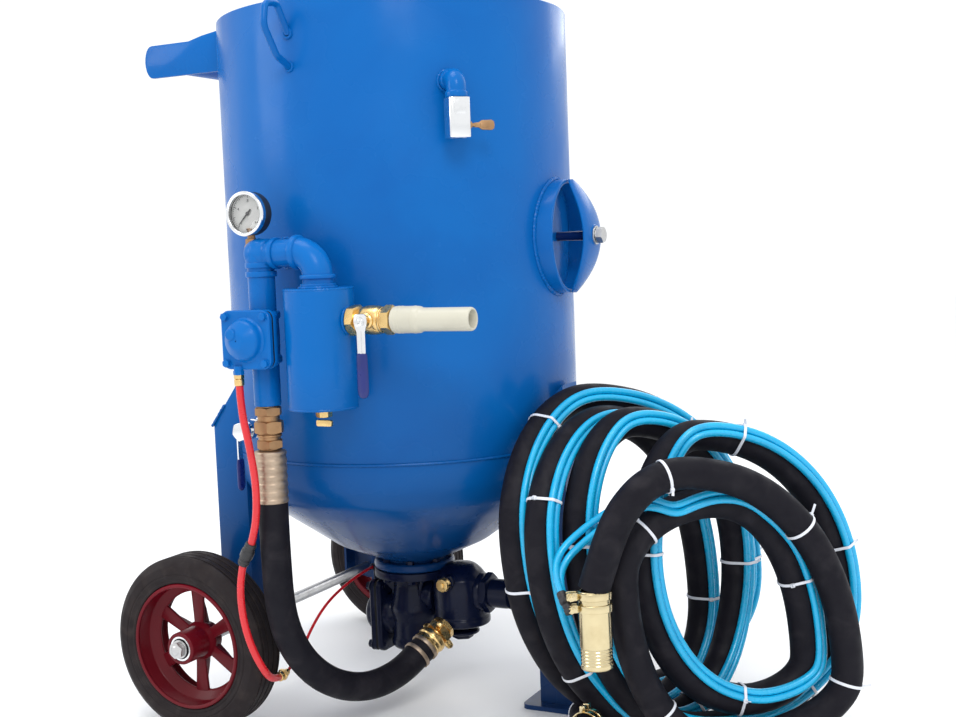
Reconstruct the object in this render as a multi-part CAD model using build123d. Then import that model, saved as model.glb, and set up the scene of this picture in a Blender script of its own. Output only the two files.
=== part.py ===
"""Portable abrasive blast pot on two wheels, with its pipework, valves and a coil of blast hose.

Millimetres, +Z up, floor at z = 0. Dimensions below are taken from the tank's vertical axis:
+X points to the hand hole and the front leg, -X to the wheels and the push handle,
-Y to the side that carries the air inlet. save() moves everything to the origin at the
middle of the footprint box.
"""

import os
from math import cos, pi, radians, sin, tan

from build123d import *

# ---- driving dimensions ---------------------------------------------------------------
ORIGIN = Vector(-20.5, -23.5, 0)      # middle of the footprint, seen from the tank axis

TANK_R = 305.0                        # 24 inch shell, outside
TANK_WALL = 8.0
TANK_IN = TANK_R - TANK_WALL
SEAM_Z = 457.0                        # shell to bottom head weld
RIM_Z = 1196.0
GAP = 0.05                            # weld fit-up between welded pieces
FIT = 0.06                            # running fit, radial
CLEAR = 0.4                           # free clearance between moving pieces

AXLE_X, AXLE_Z = -237.0, 150.0
AXLE_R = 10.0
WHEEL_Y = 330.0                       # wheel centre plane
WHEEL_R = 150.0
TYRE_HALF = 37.0
RIM_R = 107.0

PIPE_R = 21.2                         # 1 1/4 inch pipe, outside
PIPE_BORE = 16.0
FITTING_R = 26.5
AIR_Y = -364.0                        # plane of the air pipework
RISER_X = -43.0
RUN_Z = 798.0
SEP_X, SEP_R, SEP_BOTTOM, SEP_TOP = 62.0, 54.0, 558.0, 743.0
INLET_Z = 693.0
INLET_X0 = SEP_X + SEP_R
WALL_STUB = 36.0                      # length of the air pipe branch outside the wall
VALVE_Z = 667.0                       # remote air valve centre
HOSE_R, HOSE_BORE = 24.0, 16.0        # 1 1/4 inch air and blast hose
HOSE_TOP = 405.0

HEAD_Z = 1112.0                       # concave top head at the wall
PORT_R = 72.0
GUIDE_R, STEM_R = 21.0, 16.0
POPUP_TRAVEL, SEAT_DROP = 30.0, 10.0   # lift of the pop-up cone, and its rim below the seal when shut

HAND_Z = 808.0
HAND_Y, HAND_H = 75.0, 95.0           # hand hole neck, half width and half height
NECK_X = 327.0

TEE_X, TEE_R = 94.0, 50.0
OUTLET_Z, OUTLET_R = 183.0, 25.5
BODY_R, BODY_X = 43.0, -4.0
FLANGE_R, FLANGE_Z = 73.0, 222.0      # drilled outlet flange, its lower face
LUG_X, GRIP_X = -12.0, -402.0
GRIT_Z = 130.0                        # axis of the abrasive valve's diaphragm

VENT_ANGLE = -44.0
VENT_Z = 1055.0
BLOW_X, BLOW_Z, BLOW_BORE = -118.0, 512.0, 6.5

GAUGE_X, GAUGE_Z, GAUGE_R = -58.0, 861.0, 34.0
FERRULE, UNION = 85.0, 70.0           # lengths on the riser end of the air hose
AIR_RUN = Vector(0.388, 0.922, 0)     # heading of the air hose over the floor
AIR_ROUTE = [(0, 405), (0, 331), (3, 222), (30, 150), (84, 92), (156, 62), (229, 68), (290, 104)]
END_DIR = Vector(61 * AIR_RUN.X, 61 * AIR_RUN.Y, 36).normalized()
RED_TOP = [(-59, -413, 609), (-59, -413, 560), (-49, -409, 500), (-44, -404, 440), (-49, -401, 385),
           (-64, -397, 345)]
RED_LOW = [(-88, -391, 308), (-97, -390, 268), (-95, -390, 222), (-84, -388, 176), (-70, -377, 134),
           (-76, -345, 106), (-84, -316, 101)]
PILOT = [(-84, -292, 103), (-86, -246, 124), (-93, -198, 156), (-97, -146, 181), (-93, -92, 199),
         (-86, -46, 211), (-83, -12, 214)]

# hose coil: two leaning elliptic rings in a frame turned 30 degrees (along = right, depth = back)
COIL_TURN = 30.0
ALONG = Vector(cos(radians(COIL_TURN)), sin(radians(COIL_TURN)), 0)
DEPTH = Vector(-sin(radians(COIL_TURN)), cos(radians(COIL_TURN)), 0)
HOLDER_TOP = ALONG * 261 - DEPTH * 490 + Vector(0, 0, 290)
HOLDER_DIR = Vector(0.04, -0.05, -1).normalized()
CLAW_AT = ALONG * 226 - DEPTH * 473 + Vector(0, 0, 62)
CLAW_DIR = (ALONG * -0.55 - DEPTH * 0.83).normalized()

os.makedirs("parts", exist_ok=True)


# ---- helpers --------------------------------------------------------------------------
def rod(at, axis, radius, length):
    """A cylinder that starts at a point and runs along an axis."""
    return extrude(Plane(at, z_dir=axis) * Circle(radius), length)


def ring(at, axis, outer, inner, length):
    """A tube that starts at a point and runs along an axis."""
    return extrude(Plane(at, z_dir=axis) * (Circle(outer) - Circle(inner)), length)


def hexagon(at, axis, flats, length):
    """A hexagon bar, by its width across flats."""
    return extrude(Plane(at, z_dir=axis) * RegularPolygon(flats / 2 / cos(pi / 6), 6), length)


def block(low, high):
    """A box between two corners."""
    low, high = Vector(*low), Vector(*high)
    size = high - low
    return Pos(*((low + high) * 0.5)) * Box(size.X, size.Y, size.Z)


def about_axis(points, arc_radii=None):
    """A closed solid of revolution about Z from (radius, height) points."""
    outline = [(r, 0, z) for r, z in points]
    if arc_radii:
        line = FilletPolyline(*outline, radius=arc_radii, close=True)
    else:
        line = Polyline(*outline, close=True)
    return revolve(make_face(line), Axis.Z)


def sweep_path(points, radii, outer, inner=0.0):
    """A round tube along straight runs joined by arcs."""
    path = FilletPolyline(*points, radius=radii)
    start = Plane(origin=path @ 0, z_dir=path % 0)
    solid = sweep(start * Circle(outer), path=path)
    if inner:
        solid -= sweep(start * Circle(inner), path=path)
    return solid


def corner_radii(points):
    """The largest arcs that the runs on each side of a corner allow."""
    radii = []
    for before, here, after in zip(points, points[1:], points[2:]):
        run_in, run_out = Vector(*here) - Vector(*before), Vector(*after) - Vector(*here)
        half_turn = radians(run_in.get_angle(run_out)) / 2
        radii.append(0.45 * min(run_in.length, run_out.length) / tan(half_turn))
    return radii


def cord(name, points, radius):
    """A hose as one tube, with its radii and its volume against section times length."""
    radii = corner_radii(points)
    path = FilletPolyline(*points, radius=radii)
    tube = sweep(Plane(origin=path @ 0, z_dir=path % 0) * Circle(radius), path=path)
    share = tube.volume / (pi * radius**2 * path.length)
    print(name, "length", round(path.length), "radii", [round(r) for r in radii],
          "volume share", round(share, 3))
    return tube


def save(name, *solids):
    """Writes one node, moved to the footprint origin."""
    shapes = [solid for item in solids for solid in item.solids()]
    moved = Pos(*(-ORIGIN)) * Compound(children=shapes)
    export_step(moved, f"parts/{name}.step")


def outward(angle):
    """Unit vector away from the tank axis."""
    return Vector(cos(radians(angle)), sin(radians(angle)), 0)


def head_outline(grow):
    """Outside of the bottom head from the seam to the outlet: knuckle, then cone."""
    return FilletPolyline((TANK_R + grow, 0, SEAM_Z), (TANK_R + grow, 0, 405), (140, 0, 275 - grow),
                          (50, 0, 236 - grow), radius=[70, 200])


def tank_envelope():
    """The tank's outside as one solid, to cope what is welded on to it."""
    outer = head_outline(GAP)
    rest = Polyline(outer @ 1, (0, 0, 236 - GAP), (0, 0, 1400), (TANK_R + GAP, 0, 1400), outer @ 0)
    return revolve(make_face([outer, rest]), Axis.Z)


TANK_CUT = tank_envelope()


# ---- tank -----------------------------------------------------------------------------
def tank_shell():
    """Cylinder with its skirt, bored for the hand hole, the air pipe, the vent and the blow-down."""
    shell = ring((0, 0, SEAM_Z + GAP), (0, 0, 1), TANK_R, TANK_IN, RIM_Z - SEAM_Z - GAP)
    shell -= hand_ellipse(200, HAND_Y + GAP, HAND_H + GAP, 150)
    for at, radius in ((inlet_wall_point(), GUIDE_R + GAP), (vent_wall_point(), 10)):
        away = Vector(at.X, at.Y, 0).normalized()
        shell -= rod(at - away * 40, away, radius, 80)
    shell -= rod((BLOW_X, -200, BLOW_Z), (0, -1, 0), BLOW_BORE, 120)
    return shell


def top_head():
    """Concave head inside the skirt, which funnels abrasive to the filling port, and its collar."""
    thick, fall = 6, 58
    upper = ThreePointArc((TANK_IN - GAP, 0, HEAD_Z), (190, 0, HEAD_Z - 39), (PORT_R - 1, 0, HEAD_Z - fall))
    lower = ThreePointArc((PORT_R - 1, 0, HEAD_Z - fall - thick), (190, 0, HEAD_Z - 39 - thick),
                          (TANK_IN - GAP, 0, HEAD_Z - thick))
    sides = [Line(upper @ 1, lower @ 0), Line(lower @ 1, upper @ 0)]
    head = revolve(make_face([upper, sides[0], lower, sides[1]]), Axis.Z)
    return head + ring((0, 0, HEAD_Z - fall - 14), (0, 0, 1), PORT_R, 60, 20)


def bottom_head():
    """Knuckled, conical bottom with the drilled outlet flange at its end."""
    outer = head_outline(0)
    inner = FilletPolyline((42, 0, 236), (42, 0, 244), (136, 0, 283), (TANK_IN, 0, 409),
                           (TANK_IN, 0, SEAM_Z), radius=[3, 192, 62])
    head = revolve(make_face([outer, Line(outer @ 1, inner @ 0), inner, Line(inner @ 1, outer @ 0)]), Axis.Z)
    flange = ring((0, 0, FLANGE_Z), (0, 0, 1), FLANGE_R, 42, 236 - FLANGE_Z + 2)
    for spot in flange_spots():
        flange -= rod(spot + Vector(0, 0, FLANGE_Z - 1), (0, 0, 1), 4 + GAP, 40)
    return head + flange


def flange_spots():
    """Bolt centres of the outlet flange."""
    angles = [radians(22.5 + 45 * k) for k in range(8)]
    return [Vector(63 * cos(angle), 63 * sin(angle), 0) for angle in angles]


def filling_port():
    """Rubber seals, fixed guide pipe and the pop-up closing cone."""
    seal_z = HEAD_Z - 80
    seal_top = seal_z + 8 - GAP
    seal = about_axis([(54, seal_z), (72, seal_z), (72, seal_top), (58, seal_top), (52, seal_z + 4)])
    cone_r, cone_z = 66.0, seal_z - POPUP_TRAVEL - SEAT_DROP
    cone = about_axis([(0, cone_z - 12), (cone_r - 4, cone_z - 12), (cone_r, cone_z - 8), (cone_r, cone_z),
                       (18, cone_z + 38), (10, cone_z + 42), (0, cone_z + 43)])
    stem = rod((0, 0, cone_z - 112), (0, 0, 1), STEM_R, 100)
    drilled = stem - rod((0, 0, cone_z - 113), (0, 0, 1), STEM_R - 4, 80)
    inlet = inlet_wall_point()
    start = inlet + Vector(inlet.X, inlet.Y, 0).normalized() * WALL_STUB
    points = [tuple(start), (0, 0, RUN_Z), (0, 0, cone_z - 12 - CLEAR)]
    save("tank_seals", seal, hand_hole_gasket())
    save("popup_valve", cone + drilled)
    save("air_guide_pipe", sweep_path(points, [55], GUIDE_R, STEM_R + FIT))


def inlet_wall_point():
    """Where the air pipe goes radially through the wall."""
    return Vector(RISER_X, AIR_Y, 0).normalized() * TANK_R + Vector(0, 0, RUN_Z)


def vent_wall_point():
    return outward(VENT_ANGLE) * TANK_R + Vector(0, 0, VENT_Z)


def lifting_lug(side):
    """Bent rod ring welded to the skirt, seen side on as a pear."""
    points = [(LUG_X, side * (TANK_R - 1), 1089), (LUG_X, side * 338, 1103), (LUG_X, side * 368, 1146),
              (LUG_X, side * 362, 1180), (LUG_X, side * 332, 1184), (LUG_X, side * (TANK_R - 1), 1140)]
    return sweep_path(points, [14, 22, 14, 13], 5.5) - TANK_CUT


def handle_arm(side):
    """Flat push handle arm with a rounded nose, deepened where it meets the tank."""
    y = side * 150
    nose_x, root_x, mid_z, half = -430.0, -200.0, 1150.0, 29.0
    outline = [(nose_x + 16, mid_z + half), (root_x, mid_z + half), (root_x, mid_z - half - 16),
               (-262, mid_z - half - 12), (-330, mid_z - half), (nose_x + 16, mid_z - half),
               (nose_x, mid_z - 12), (nose_x, mid_z + 12)]
    plate = side_plate(outline, y - 4, y + 4) - rod((GRIP_X, y - 20, mid_z), (0, 1, 0), 16 + GAP, 40)
    return plate - TANK_CUT


def side_plate(outline, y_low, y_high):
    """A plate between two Y planes, from its (x, z) outline."""
    face = make_face(Polyline(*[(x, y_low, z) for x, z in outline], close=True))
    return extrude(face, y_high - y_low, dir=(0, 1, 0))


# ---- running gear ---------------------------------------------------------------------
def leg(side):
    """Folded channel from the tank wall down to the axle, with a slanted top."""
    web_y, inner_y, hollow = side * 218, side * 182, side * 213
    back, front, foot, top_back, top_front = -271, -203, 130, 500, 590
    channel = block((back, min(web_y, inner_y), foot), (front, max(web_y, inner_y), top_front))
    channel -= block((back + 5, min(hollow, side * 180), foot - 1), (front - 5, max(hollow, side * 180), 640))
    above = [(back - 1, top_back), (front + 1, top_front), (front + 1, 640), (back - 1, 640)]
    channel -= side_plate(above, -300, 300)
    channel -= rod((AXLE_X, -400, AXLE_Z), (0, 1, 0), AXLE_R + GAP, 800)
    return channel - TANK_CUT


def front_leg():
    """Box leg under the hand hole, coped to the tank, on a square foot."""
    post = block((258, -30, 7), (318, 30, 560)) - block((263, -25, 8), (313, 25, 561))
    post -= side_plate([(257, 500), (319, 561), (319, 600), (257, 600)], -60, 60)
    return post - TANK_CUT + extrude(Pos(288, 0) * RectangleRounded(110, 110, 12), 8)


def wheel(side):
    """Rim with six spokes and an outboard hub, solid tyre and two bearings."""
    def at(offset):
        return (AXLE_X, side * (WHEEL_Y + offset), AXLE_Z)

    out = (0, side, 0)
    rim = ring(at(-36), out, RIM_R - 0.5, RIM_R - 5, 73)
    rim += ring(at(-36), out, RIM_R - 4, RIM_R - 14, 4) + ring(at(33), out, RIM_R - 0.5, RIM_R - 8, 4)
    rim += ring(at(-10), out, RIM_R - 4, RIM_R - 22, 5)
    hub = ring(at(-30), out, 27, 21 + GAP, 78) - rod(at(-31), out, 19, 1)
    rim += hub
    spoke = block((20, -9, 0), (RIM_R - 4, 9, 5)) + block((20, -2.5, 5), (RIM_R - 12, 2.5, 16))
    for k in range(6):
        arm = Plane(at(-8), x_dir=(0, 0, 1), z_dir=out) * Rot(0, 0, 60 * k) * spoke
        rim += arm - rod(at(-40), out, 24, 100)
    tyre_outline = [(RIM_R, -34), (RIM_R + 12, -TYRE_HALF), (WHEEL_R - 14, -TYRE_HALF), (WHEEL_R, -16),
                    (WHEEL_R, 16), (WHEEL_R - 14, TYRE_HALF), (RIM_R + 12, TYRE_HALF), (RIM_R, 34)]
    tyre = Plane(at(0), z_dir=out) * about_axis(tyre_outline, [5, 12, 14, 14, 12, 5, 2, 2])
    bearings = [ring(at(start), out, 21, AXLE_R + FIT, 12) for start in (-29, 35)]
    return rim, tyre, bearings


def axle_nut(side):
    start = (AXLE_X, side * (WHEEL_Y + 48 + CLEAR), AXLE_Z)
    washer = ring(start, (0, side, 0), 14, AXLE_R + GAP, 2)
    nut = hexagon((AXLE_X, side * (WHEEL_Y + 50 + CLEAR), AXLE_Z), (0, side, 0), 24, 10)
    return washer, nut - rod((AXLE_X, 0, AXLE_Z), (0, side, 0), AXLE_R + GAP, 500)


def running_gear():
    """Wheels, axle with its washers and nuts, legs, lifting lugs and push handle."""
    axle = rod((AXLE_X, -WHEEL_Y - 62, AXLE_Z), (0, 1, 0), AXLE_R, 2 * WHEEL_Y + 124)
    save("axle", axle, *axle_nut(-1), *axle_nut(1))
    for side, name in ((-1, "near"), (1, "far")):
        rim, tyre, bearings = wheel(side)
        save(f"wheel_rim_{name}", rim)
        save(f"tyre_{name}", tyre)
        save(f"wheel_bearings_{name}", *bearings)
    save("wheel_legs", leg(-1), leg(1))
    save("front_leg", front_leg())
    save("lifting_lugs", lifting_lug(-1), lifting_lug(1))
    save("push_handle", handle_arm(-1), handle_arm(1), ring((GRIP_X, -158, 1150), (0, 1, 0), 16, 13, 316))


# ---- air pipework ---------------------------------------------------------------------
def riser(bore=PIPE_BORE):
    """Pipe from the remote valve up to the corner fitting, with its branch into the tank."""
    corner = Vector(RISER_X, AIR_Y, RUN_Z)
    path = [(RISER_X, AIR_Y, VALVE_Z + 42), tuple(corner), (SEP_X - 38, AIR_Y, RUN_Z)]
    towards_tank = (inlet_wall_point() - corner).normalized()
    branch = (inlet_wall_point() - corner).length - WALL_STUB - GAP
    pipe = sweep_path(path, [24], PIPE_R) + rod(corner, towards_tank, GUIDE_R, branch)
    pipe += Pos(*corner) * Sphere(FITTING_R - 3)
    pipe += rod(corner - Vector(0, 0, 34), (0, 0, 1), FITTING_R - 3, 10)
    if bore:
        pipe -= sweep_path(path, [24], bore)
        pipe -= rod(corner, towards_tank, bore, branch + 1)
    return pipe


def crossover():
    """Large elbow that turns down into the separator, with two collar bands."""
    path = [(SEP_X - 38 + GAP, AIR_Y, RUN_Z), (SEP_X, AIR_Y, RUN_Z), (SEP_X, AIR_Y, SEP_TOP + GAP)]
    elbow = sweep_path(path, [36], FITTING_R - 3)
    for height in (GAP, 14):
        elbow += rod((SEP_X, AIR_Y, SEP_TOP + height), (0, 0, 1), FITTING_R + 1, 6)
    return elbow - sweep_path(path, [36], PIPE_BORE)


def separator():
    """Moisture separator: pipe body with flat ends and a wall bracket, filter can and drain plug."""
    axis = Vector(SEP_X, AIR_Y, 0)
    up = Vector(0, 0, 1)
    body = rod(axis + up * SEP_BOTTOM, up, SEP_R, SEP_TOP - SEP_BOTTOM)
    body += block((SEP_X - 3, AIR_Y + 30, 590), (SEP_X + 3, -285, 710)) - TANK_CUT
    body -= rod(axis + up * (SEP_BOTTOM + 6), up, SEP_R - 5, SEP_TOP - SEP_BOTTOM - 12)
    body -= rod(axis + up * (SEP_TOP - 7), up, PIPE_BORE, 8)
    body -= rod(axis + up * INLET_Z, (1, 0, 0), 13, SEP_R + 1)
    body -= rod(axis + up * (SEP_BOTTOM - 1), up, 7 + FIT, 8)
    filter_can = ring(axis + up * (SEP_TOP - 96), up, 24, 21, 90 - GAP)
    plug = rod(axis + up * (SEP_BOTTOM - 16), up, 7, 22) + hexagon(axis + up * (SEP_BOTTOM - 14), up, 22, 13)
    plug += block((SEP_X - 14, AIR_Y - 3, SEP_BOTTOM - 24), (SEP_X + 14, AIR_Y + 3, SEP_BOTTOM - 14))
    save("separator_body", body)
    save("separator_filter", filter_can)
    save("separator_drain", plug)


def lever_parts(pivot, stem_axis, length, sleeve_share=0.55):
    """Flat lever that hangs down from a stem, and its dipped sleeve."""
    frame = Plane(pivot, x_dir=(0, 0, -1), z_dir=stem_axis)
    start = length * (1 - sleeve_share)
    bar = rod(pivot, stem_axis, 10, 3)
    bar += extrude(frame * Pos((length - 2) / 2, 0) * Rectangle(length - 2, 13), 3)
    grip = extrude(frame * Pos(start + (length - start) / 2, 0) * SlotOverall(length - start + 6, 19), 8)
    return bar, Pos(*(Vector(*stem_axis) * -2.5)) * grip - bar


def inlet_valve():
    """Full-bore ball valve, its lever with a nut, and the stepped hose adapter."""
    centre = Vector(INLET_X0 + 42, AIR_Y, INLET_Z)
    plus_x, front = (1, 0, 0), Vector(0, -1, 0)
    body = rod(centre - Vector(30, 0, 0), plus_x, 21, 58)
    body += hexagon((INLET_X0 + 3, AIR_Y, INLET_Z), plus_x, 42, 16)
    body += hexagon((INLET_X0 + 64, AIR_Y, INLET_Z), plus_x, 38, 16)
    body += rod(centre, front, 11, 34)
    body += rod((INLET_X0 - 4, AIR_Y, INLET_Z), plus_x, 18, 10)
    body -= rod((INLET_X0 - 5, AIR_Y, INLET_Z), plus_x, 12, 90)
    body -= Pos(*centre) * Sphere(18 + CLEAR)
    body -= rod(centre, front, 5 + CLEAR, 40)
    body -= rod((SEP_X, AIR_Y, SEP_BOTTOM), (0, 0, 1), SEP_R + GAP, SEP_TOP - SEP_BOTTOM)
    pivot = centre + front * 36
    ball = Pos(*centre) * Sphere(18) - rod(centre - Vector(0, 0, 20), (0, 0, 1), 12, 40)
    ball += rod(centre + front * 15, front, 5, 21 - GAP)
    bar, grip = lever_parts(tuple(pivot), front, 112)
    nut = hexagon(pivot + front * 3, front, 13, 6.5)
    adapter_x = INLET_X0 + 80 + GAP
    adapter = rod((adapter_x, AIR_Y, INLET_Z), plus_x, 20, 44)
    adapter += rod((adapter_x + 44, AIR_Y, INLET_Z), plus_x, 17.5, 86)
    adapter -= rod((adapter_x - 1, AIR_Y, INLET_Z), plus_x, 13, 140)
    save("inlet_valve_body", body)
    save("inlet_valve_ball", ball)
    save("inlet_lever", bar + nut)
    save("inlet_lever_sleeve", grip)
    save("inlet_adapter", adapter)


def remote_valve():
    """Diaphragm valve on the riser: body, square bonnet with its dome, and the piston."""
    centre = Vector(RISER_X, AIR_Y, VALVE_Z)
    front = Vector(0, -1, 0)
    face = centre + front * 28
    body = rod(centre - Vector(0, 0, 40), (0, 0, 1), FITTING_R, 82 - GAP) + rod(centre, front, 36, 28)
    body += square_plate(face, front, 91, 9)
    body -= rod(centre - Vector(0, 0, 41), (0, 0, 1), PIPE_BORE, 84)
    body -= rod(centre, front, 22, 40)
    dome_start = face + front * 21
    bonnet = square_plate(face + front * 12, front, 91, 9) + rod(dome_start, front, 30, 12)
    bonnet += extrude(Plane(tuple(dome_start + front * 12), z_dir=tuple(front)) * Circle(30), 8, taper=40)
    bonnet += rod(dome_start + Vector(-9, -10, 10), front, 9, 16)
    bonnet += rod(centre + Vector(-16, -49, -45), (0, 0, -1), 7, 13)
    bonnet -= rod(face, front, 24, 28)
    diaphragm = square_plate(face + front * (9 + GAP), front, 89, 3 - 2 * GAP)
    bolts = []
    for x in (-36, 36):
        for z in (-36, 36):
            start = face + Vector(x, -2, z)
            cut = rod(face + Vector(x, 1, z), front, 3 + GAP, 40)
            body, bonnet, diaphragm = body - cut, bonnet - cut, diaphragm - cut
            bolts.append(rod(start, front, 3, 19) + hexagon(start + front * 19, front, 11, 5))
    save("remote_valve_body", body)
    save("remote_valve_bonnet", bonnet)
    save("remote_valve_piston", rod(face + front * (12 + CLEAR), front, 20, 6))
    return diaphragm, bolts


def square_plate(at, axis, size, thick, tall=None):
    """A plate with rounded corners across an axis, square unless its height is given."""
    across = (0, 0, 1) if tall else (1, 0, 0)
    outline = RectangleRounded(tall or size, size, size * 0.15)
    return extrude(Plane(tuple(at), x_dir=across, z_dir=tuple(axis)) * outline, thick)


def gauge():
    """Pressure gauge on a stem above the corner fitting, its dial facing the inlet side."""
    front = Vector(0, -1, 0)
    back = Vector(GAUGE_X, AIR_Y + 14, GAUGE_Z)
    stem = rod((GAUGE_X, AIR_Y, RUN_Z - 4), (0, 0, 1), 6, GAUGE_Z - GAUGE_R - RUN_Z + 6)
    stem += hexagon((GAUGE_X, AIR_Y, RUN_Z + 12), (0, 0, 1), 15, 10)
    stem -= riser(bore=0)
    case = rod(back, front, GAUGE_R, 28) + ring(back + front * 24, front, GAUGE_R + 1, GAUGE_R - 5, 8)
    case += stem - rod(back, front, GAUGE_R - 1, 28)
    case -= rod(back + front * 4, front, GAUGE_R - 3, 24)
    inside = GAUGE_R - 3 - GAP
    dial = rod(back + front * 18, front, inside, 1.5) - rod(back, front, 1 + FIT, 30)
    lens = rod(back + front * 25.5, front, inside, 2.4)
    across = Plane(tuple(back + front * 20.5), x_dir=(-0.7071, 0, -0.7071), z_dir=tuple(front))
    needle = extrude(across * Circle(3.2), 1.6) + rod(back + front * 15, front, 1, 6)
    pointer = across * Polyline((0, -1.6), (24, -0.4), (24, 0.4), (0, 1.6), close=True)
    needle += extrude(make_face(pointer), 0.9, dir=tuple(front))
    needle += extrude(across * Pos(-5, 0) * Rectangle(10, 2.4), 0.9)
    save("gauge_case", case)
    save("gauge_dial", dial)
    save("gauge_lens", lens)
    save("gauge_needle", needle)


def vent():
    """Street elbow from the wall, square mini ball valve and its wing key."""
    away, side, up = outward(VENT_ANGLE), outward(VENT_ANGLE + 90), Vector(0, 0, 1)
    drop = away * (TANK_R + 40) + up * VENT_Z
    points = [tuple(away * (TANK_R - 12) + up * VENT_Z), tuple(drop), tuple(drop - up * 26)]
    elbow = sweep_path(points, [15.6], 15.5) - TANK_CUT
    elbow += rod(drop - up * 30, up, 17, 8)
    elbow += rod(away * (TANK_IN + 1) + up * VENT_Z, away, 9.9, 12)
    elbow -= sweep_path(points, [15.6], 8) + rod(drop - up * 31, up, 8, 10)
    elbow -= rod(away * (TANK_IN - 5) + up * VENT_Z, away, 8, 20)
    frame = Plane(tuple(drop - up * (30 + GAP)), x_dir=tuple(side), z_dir=(0, 0, -1))
    centre = drop - up * 72
    body = extrude(frame * RectangleRounded(34, 34, 5), 62) - rod(drop, -up, 6, 140)
    body -= Pos(*centre) * Sphere(9.5 + CLEAR) + rod(centre, side, 3 + CLEAR, 30)
    key = Pos(*centre) * Sphere(9.5) - rod(centre - away * 12, away, 5.5, 24)
    key += rod(centre + side * 7, side, 3, 22) + hexagon(centre + side * (17 + CLEAR), side, 10, 5)
    blade = Plane(tuple(centre + side * 27), x_dir=tuple(side), z_dir=tuple(away))
    key += extrude(blade * Pos(16, 0) * RectangleRounded(34, 15, 3), 2, both=True)
    save("vent_elbow", elbow)
    save("vent_valve_body", body)
    save("vent_key", key)


def blow_down():
    """Small ball valve on the shell beside the leg, with a hanging lever."""
    wall_y = -((TANK_R**2 - BLOW_X**2) ** 0.5)
    at, front, stem_axis = Vector(BLOW_X, wall_y, BLOW_Z), Vector(0, -1, 0), Vector(-1, 0, 0)
    body = rod(at - front * 12, front, 15, 70) + hexagon(at + front * 8, front, 30, 12)
    body += hexagon(at + front * 50, front, 28, 12)
    centre = at + front * 35
    body += rod(centre, stem_axis, 7, 18)
    body -= rod(at - front * 30, front, BLOW_BORE, 110)
    body -= Pos(*centre) * Sphere(11 + CLEAR)
    body -= rod(centre, stem_axis, 3 + CLEAR, 20)
    ball = Pos(*centre) * Sphere(11) - rod(centre - Vector(0, 0, 13), (0, 0, 1), BLOW_BORE, 26)
    ball += rod(centre + stem_axis * 9, stem_axis, 3, 17)
    bar, grip = lever_parts(tuple(centre + stem_axis * 20), stem_axis, 100, 0.5)
    save("blowdown_valve_body", body - TANK_CUT)
    save("blowdown_lever", ball + bar, grip)


def air_hose():
    """Riser tail, brass union, crimped ferrules, the whole air hose and its lower union."""
    start, down = Vector(RISER_X, AIR_Y, 0), Vector(0, 0, -1)
    tail_z, union_z = VALVE_Z - 40, HOSE_TOP + FERRULE
    tail = ring(start - down * (tail_z - GAP), down, PIPE_R, PIPE_BORE, tail_z - union_z - UNION - 2 * GAP)
    union = ring(start - down * (union_z + UNION), down, 17.5, PIPE_BORE, UNION - GAP)
    for z, flats, height in ((union_z + 2, 39, 15), (union_z + 26, 42, 20), (union_z + 54, 39, 14)):
        union += hexagon(start - down * z, -down, flats, height) - rod(start, -down, 17, 2000)
    ferrule = ring(start - down * (union_z - GAP), down, 23.2, PIPE_BORE, FERRULE - 2 * GAP)
    route = [tuple(start + AIR_RUN * s - down * z) for s, z in AIR_ROUTE]
    save("air_hose", cord("air_hose", route, HOSE_R))
    end = Vector(*route[-1]) + END_DIR * GAP
    lower = ring(end, END_DIR, 25.5, PIPE_BORE, 26 - GAP)
    brass = ring(end + END_DIR * 26, END_DIR, 18, PIPE_BORE, 50)
    brass += hexagon(end + END_DIR * 29, END_DIR, 44, 16) - rod(end, END_DIR, 17, 80)
    brass += hexagon(end + END_DIR * 49, END_DIR, 38, 9) - rod(end, END_DIR, 17, 80)
    for turn in (40, 160, 280):
        wing = Plane(tuple(end + END_DIR * 37), z_dir=tuple(END_DIR)).rotated((0, 0, turn))
        brass += extrude(wing * Pos(27, 0) * RectangleRounded(18, 9, 3), 10)
    save("hose_end_fittings", union, ferrule, lower, brass - tee_body_cut())
    return tail


def control_hoses():
    """Red control hose in two lengths with its joiner and reducer, and the thin pilot tube."""
    hoses = [cord("red_hose_upper", RED_TOP, 6.0), cord("red_hose_lower", RED_LOW, 6.0)]
    save("control_hoses", *hoses, cord("pilot_tube", PILOT, 2.6))
    joint = Vector(*RED_LOW[0]) - Vector(*RED_TOP[-1])
    joiner = rod(RED_TOP[-1], joint, 8.5, joint.length)
    joiner += rod(Vector(*RED_TOP[-1]) + joint * 0.35, joint, 10.5, joint.length * 0.3)
    step = Vector(*PILOT[0]) - Vector(*RED_LOW[-1])
    reducer = rod(RED_LOW[-1], step, 8, step.length * 0.6) + rod(RED_LOW[-1], step, 5, step.length)
    save("control_fittings", trimmed(joiner, (RED_TOP[-2], RED_TOP[-1]), (RED_LOW[1], RED_LOW[0])),
         trimmed(reducer, (RED_LOW[-2], RED_LOW[-1]), (PILOT[1], PILOT[0])))


def trimmed(fitting, *tube_ends):
    """A fitting, cut back square where its tubes end."""
    for before, end in tube_ends:
        away = (Vector(*before) - Vector(*end)).normalized()
        fitting -= rod(end, away, 30, 40)
    return fitting


# ---- abrasive valve and mixing tee ----------------------------------------------------
def tee_body_cut():
    return rod((TEE_X, 0, 0), (0, 0, 1), TEE_R + GAP, 400)


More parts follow.
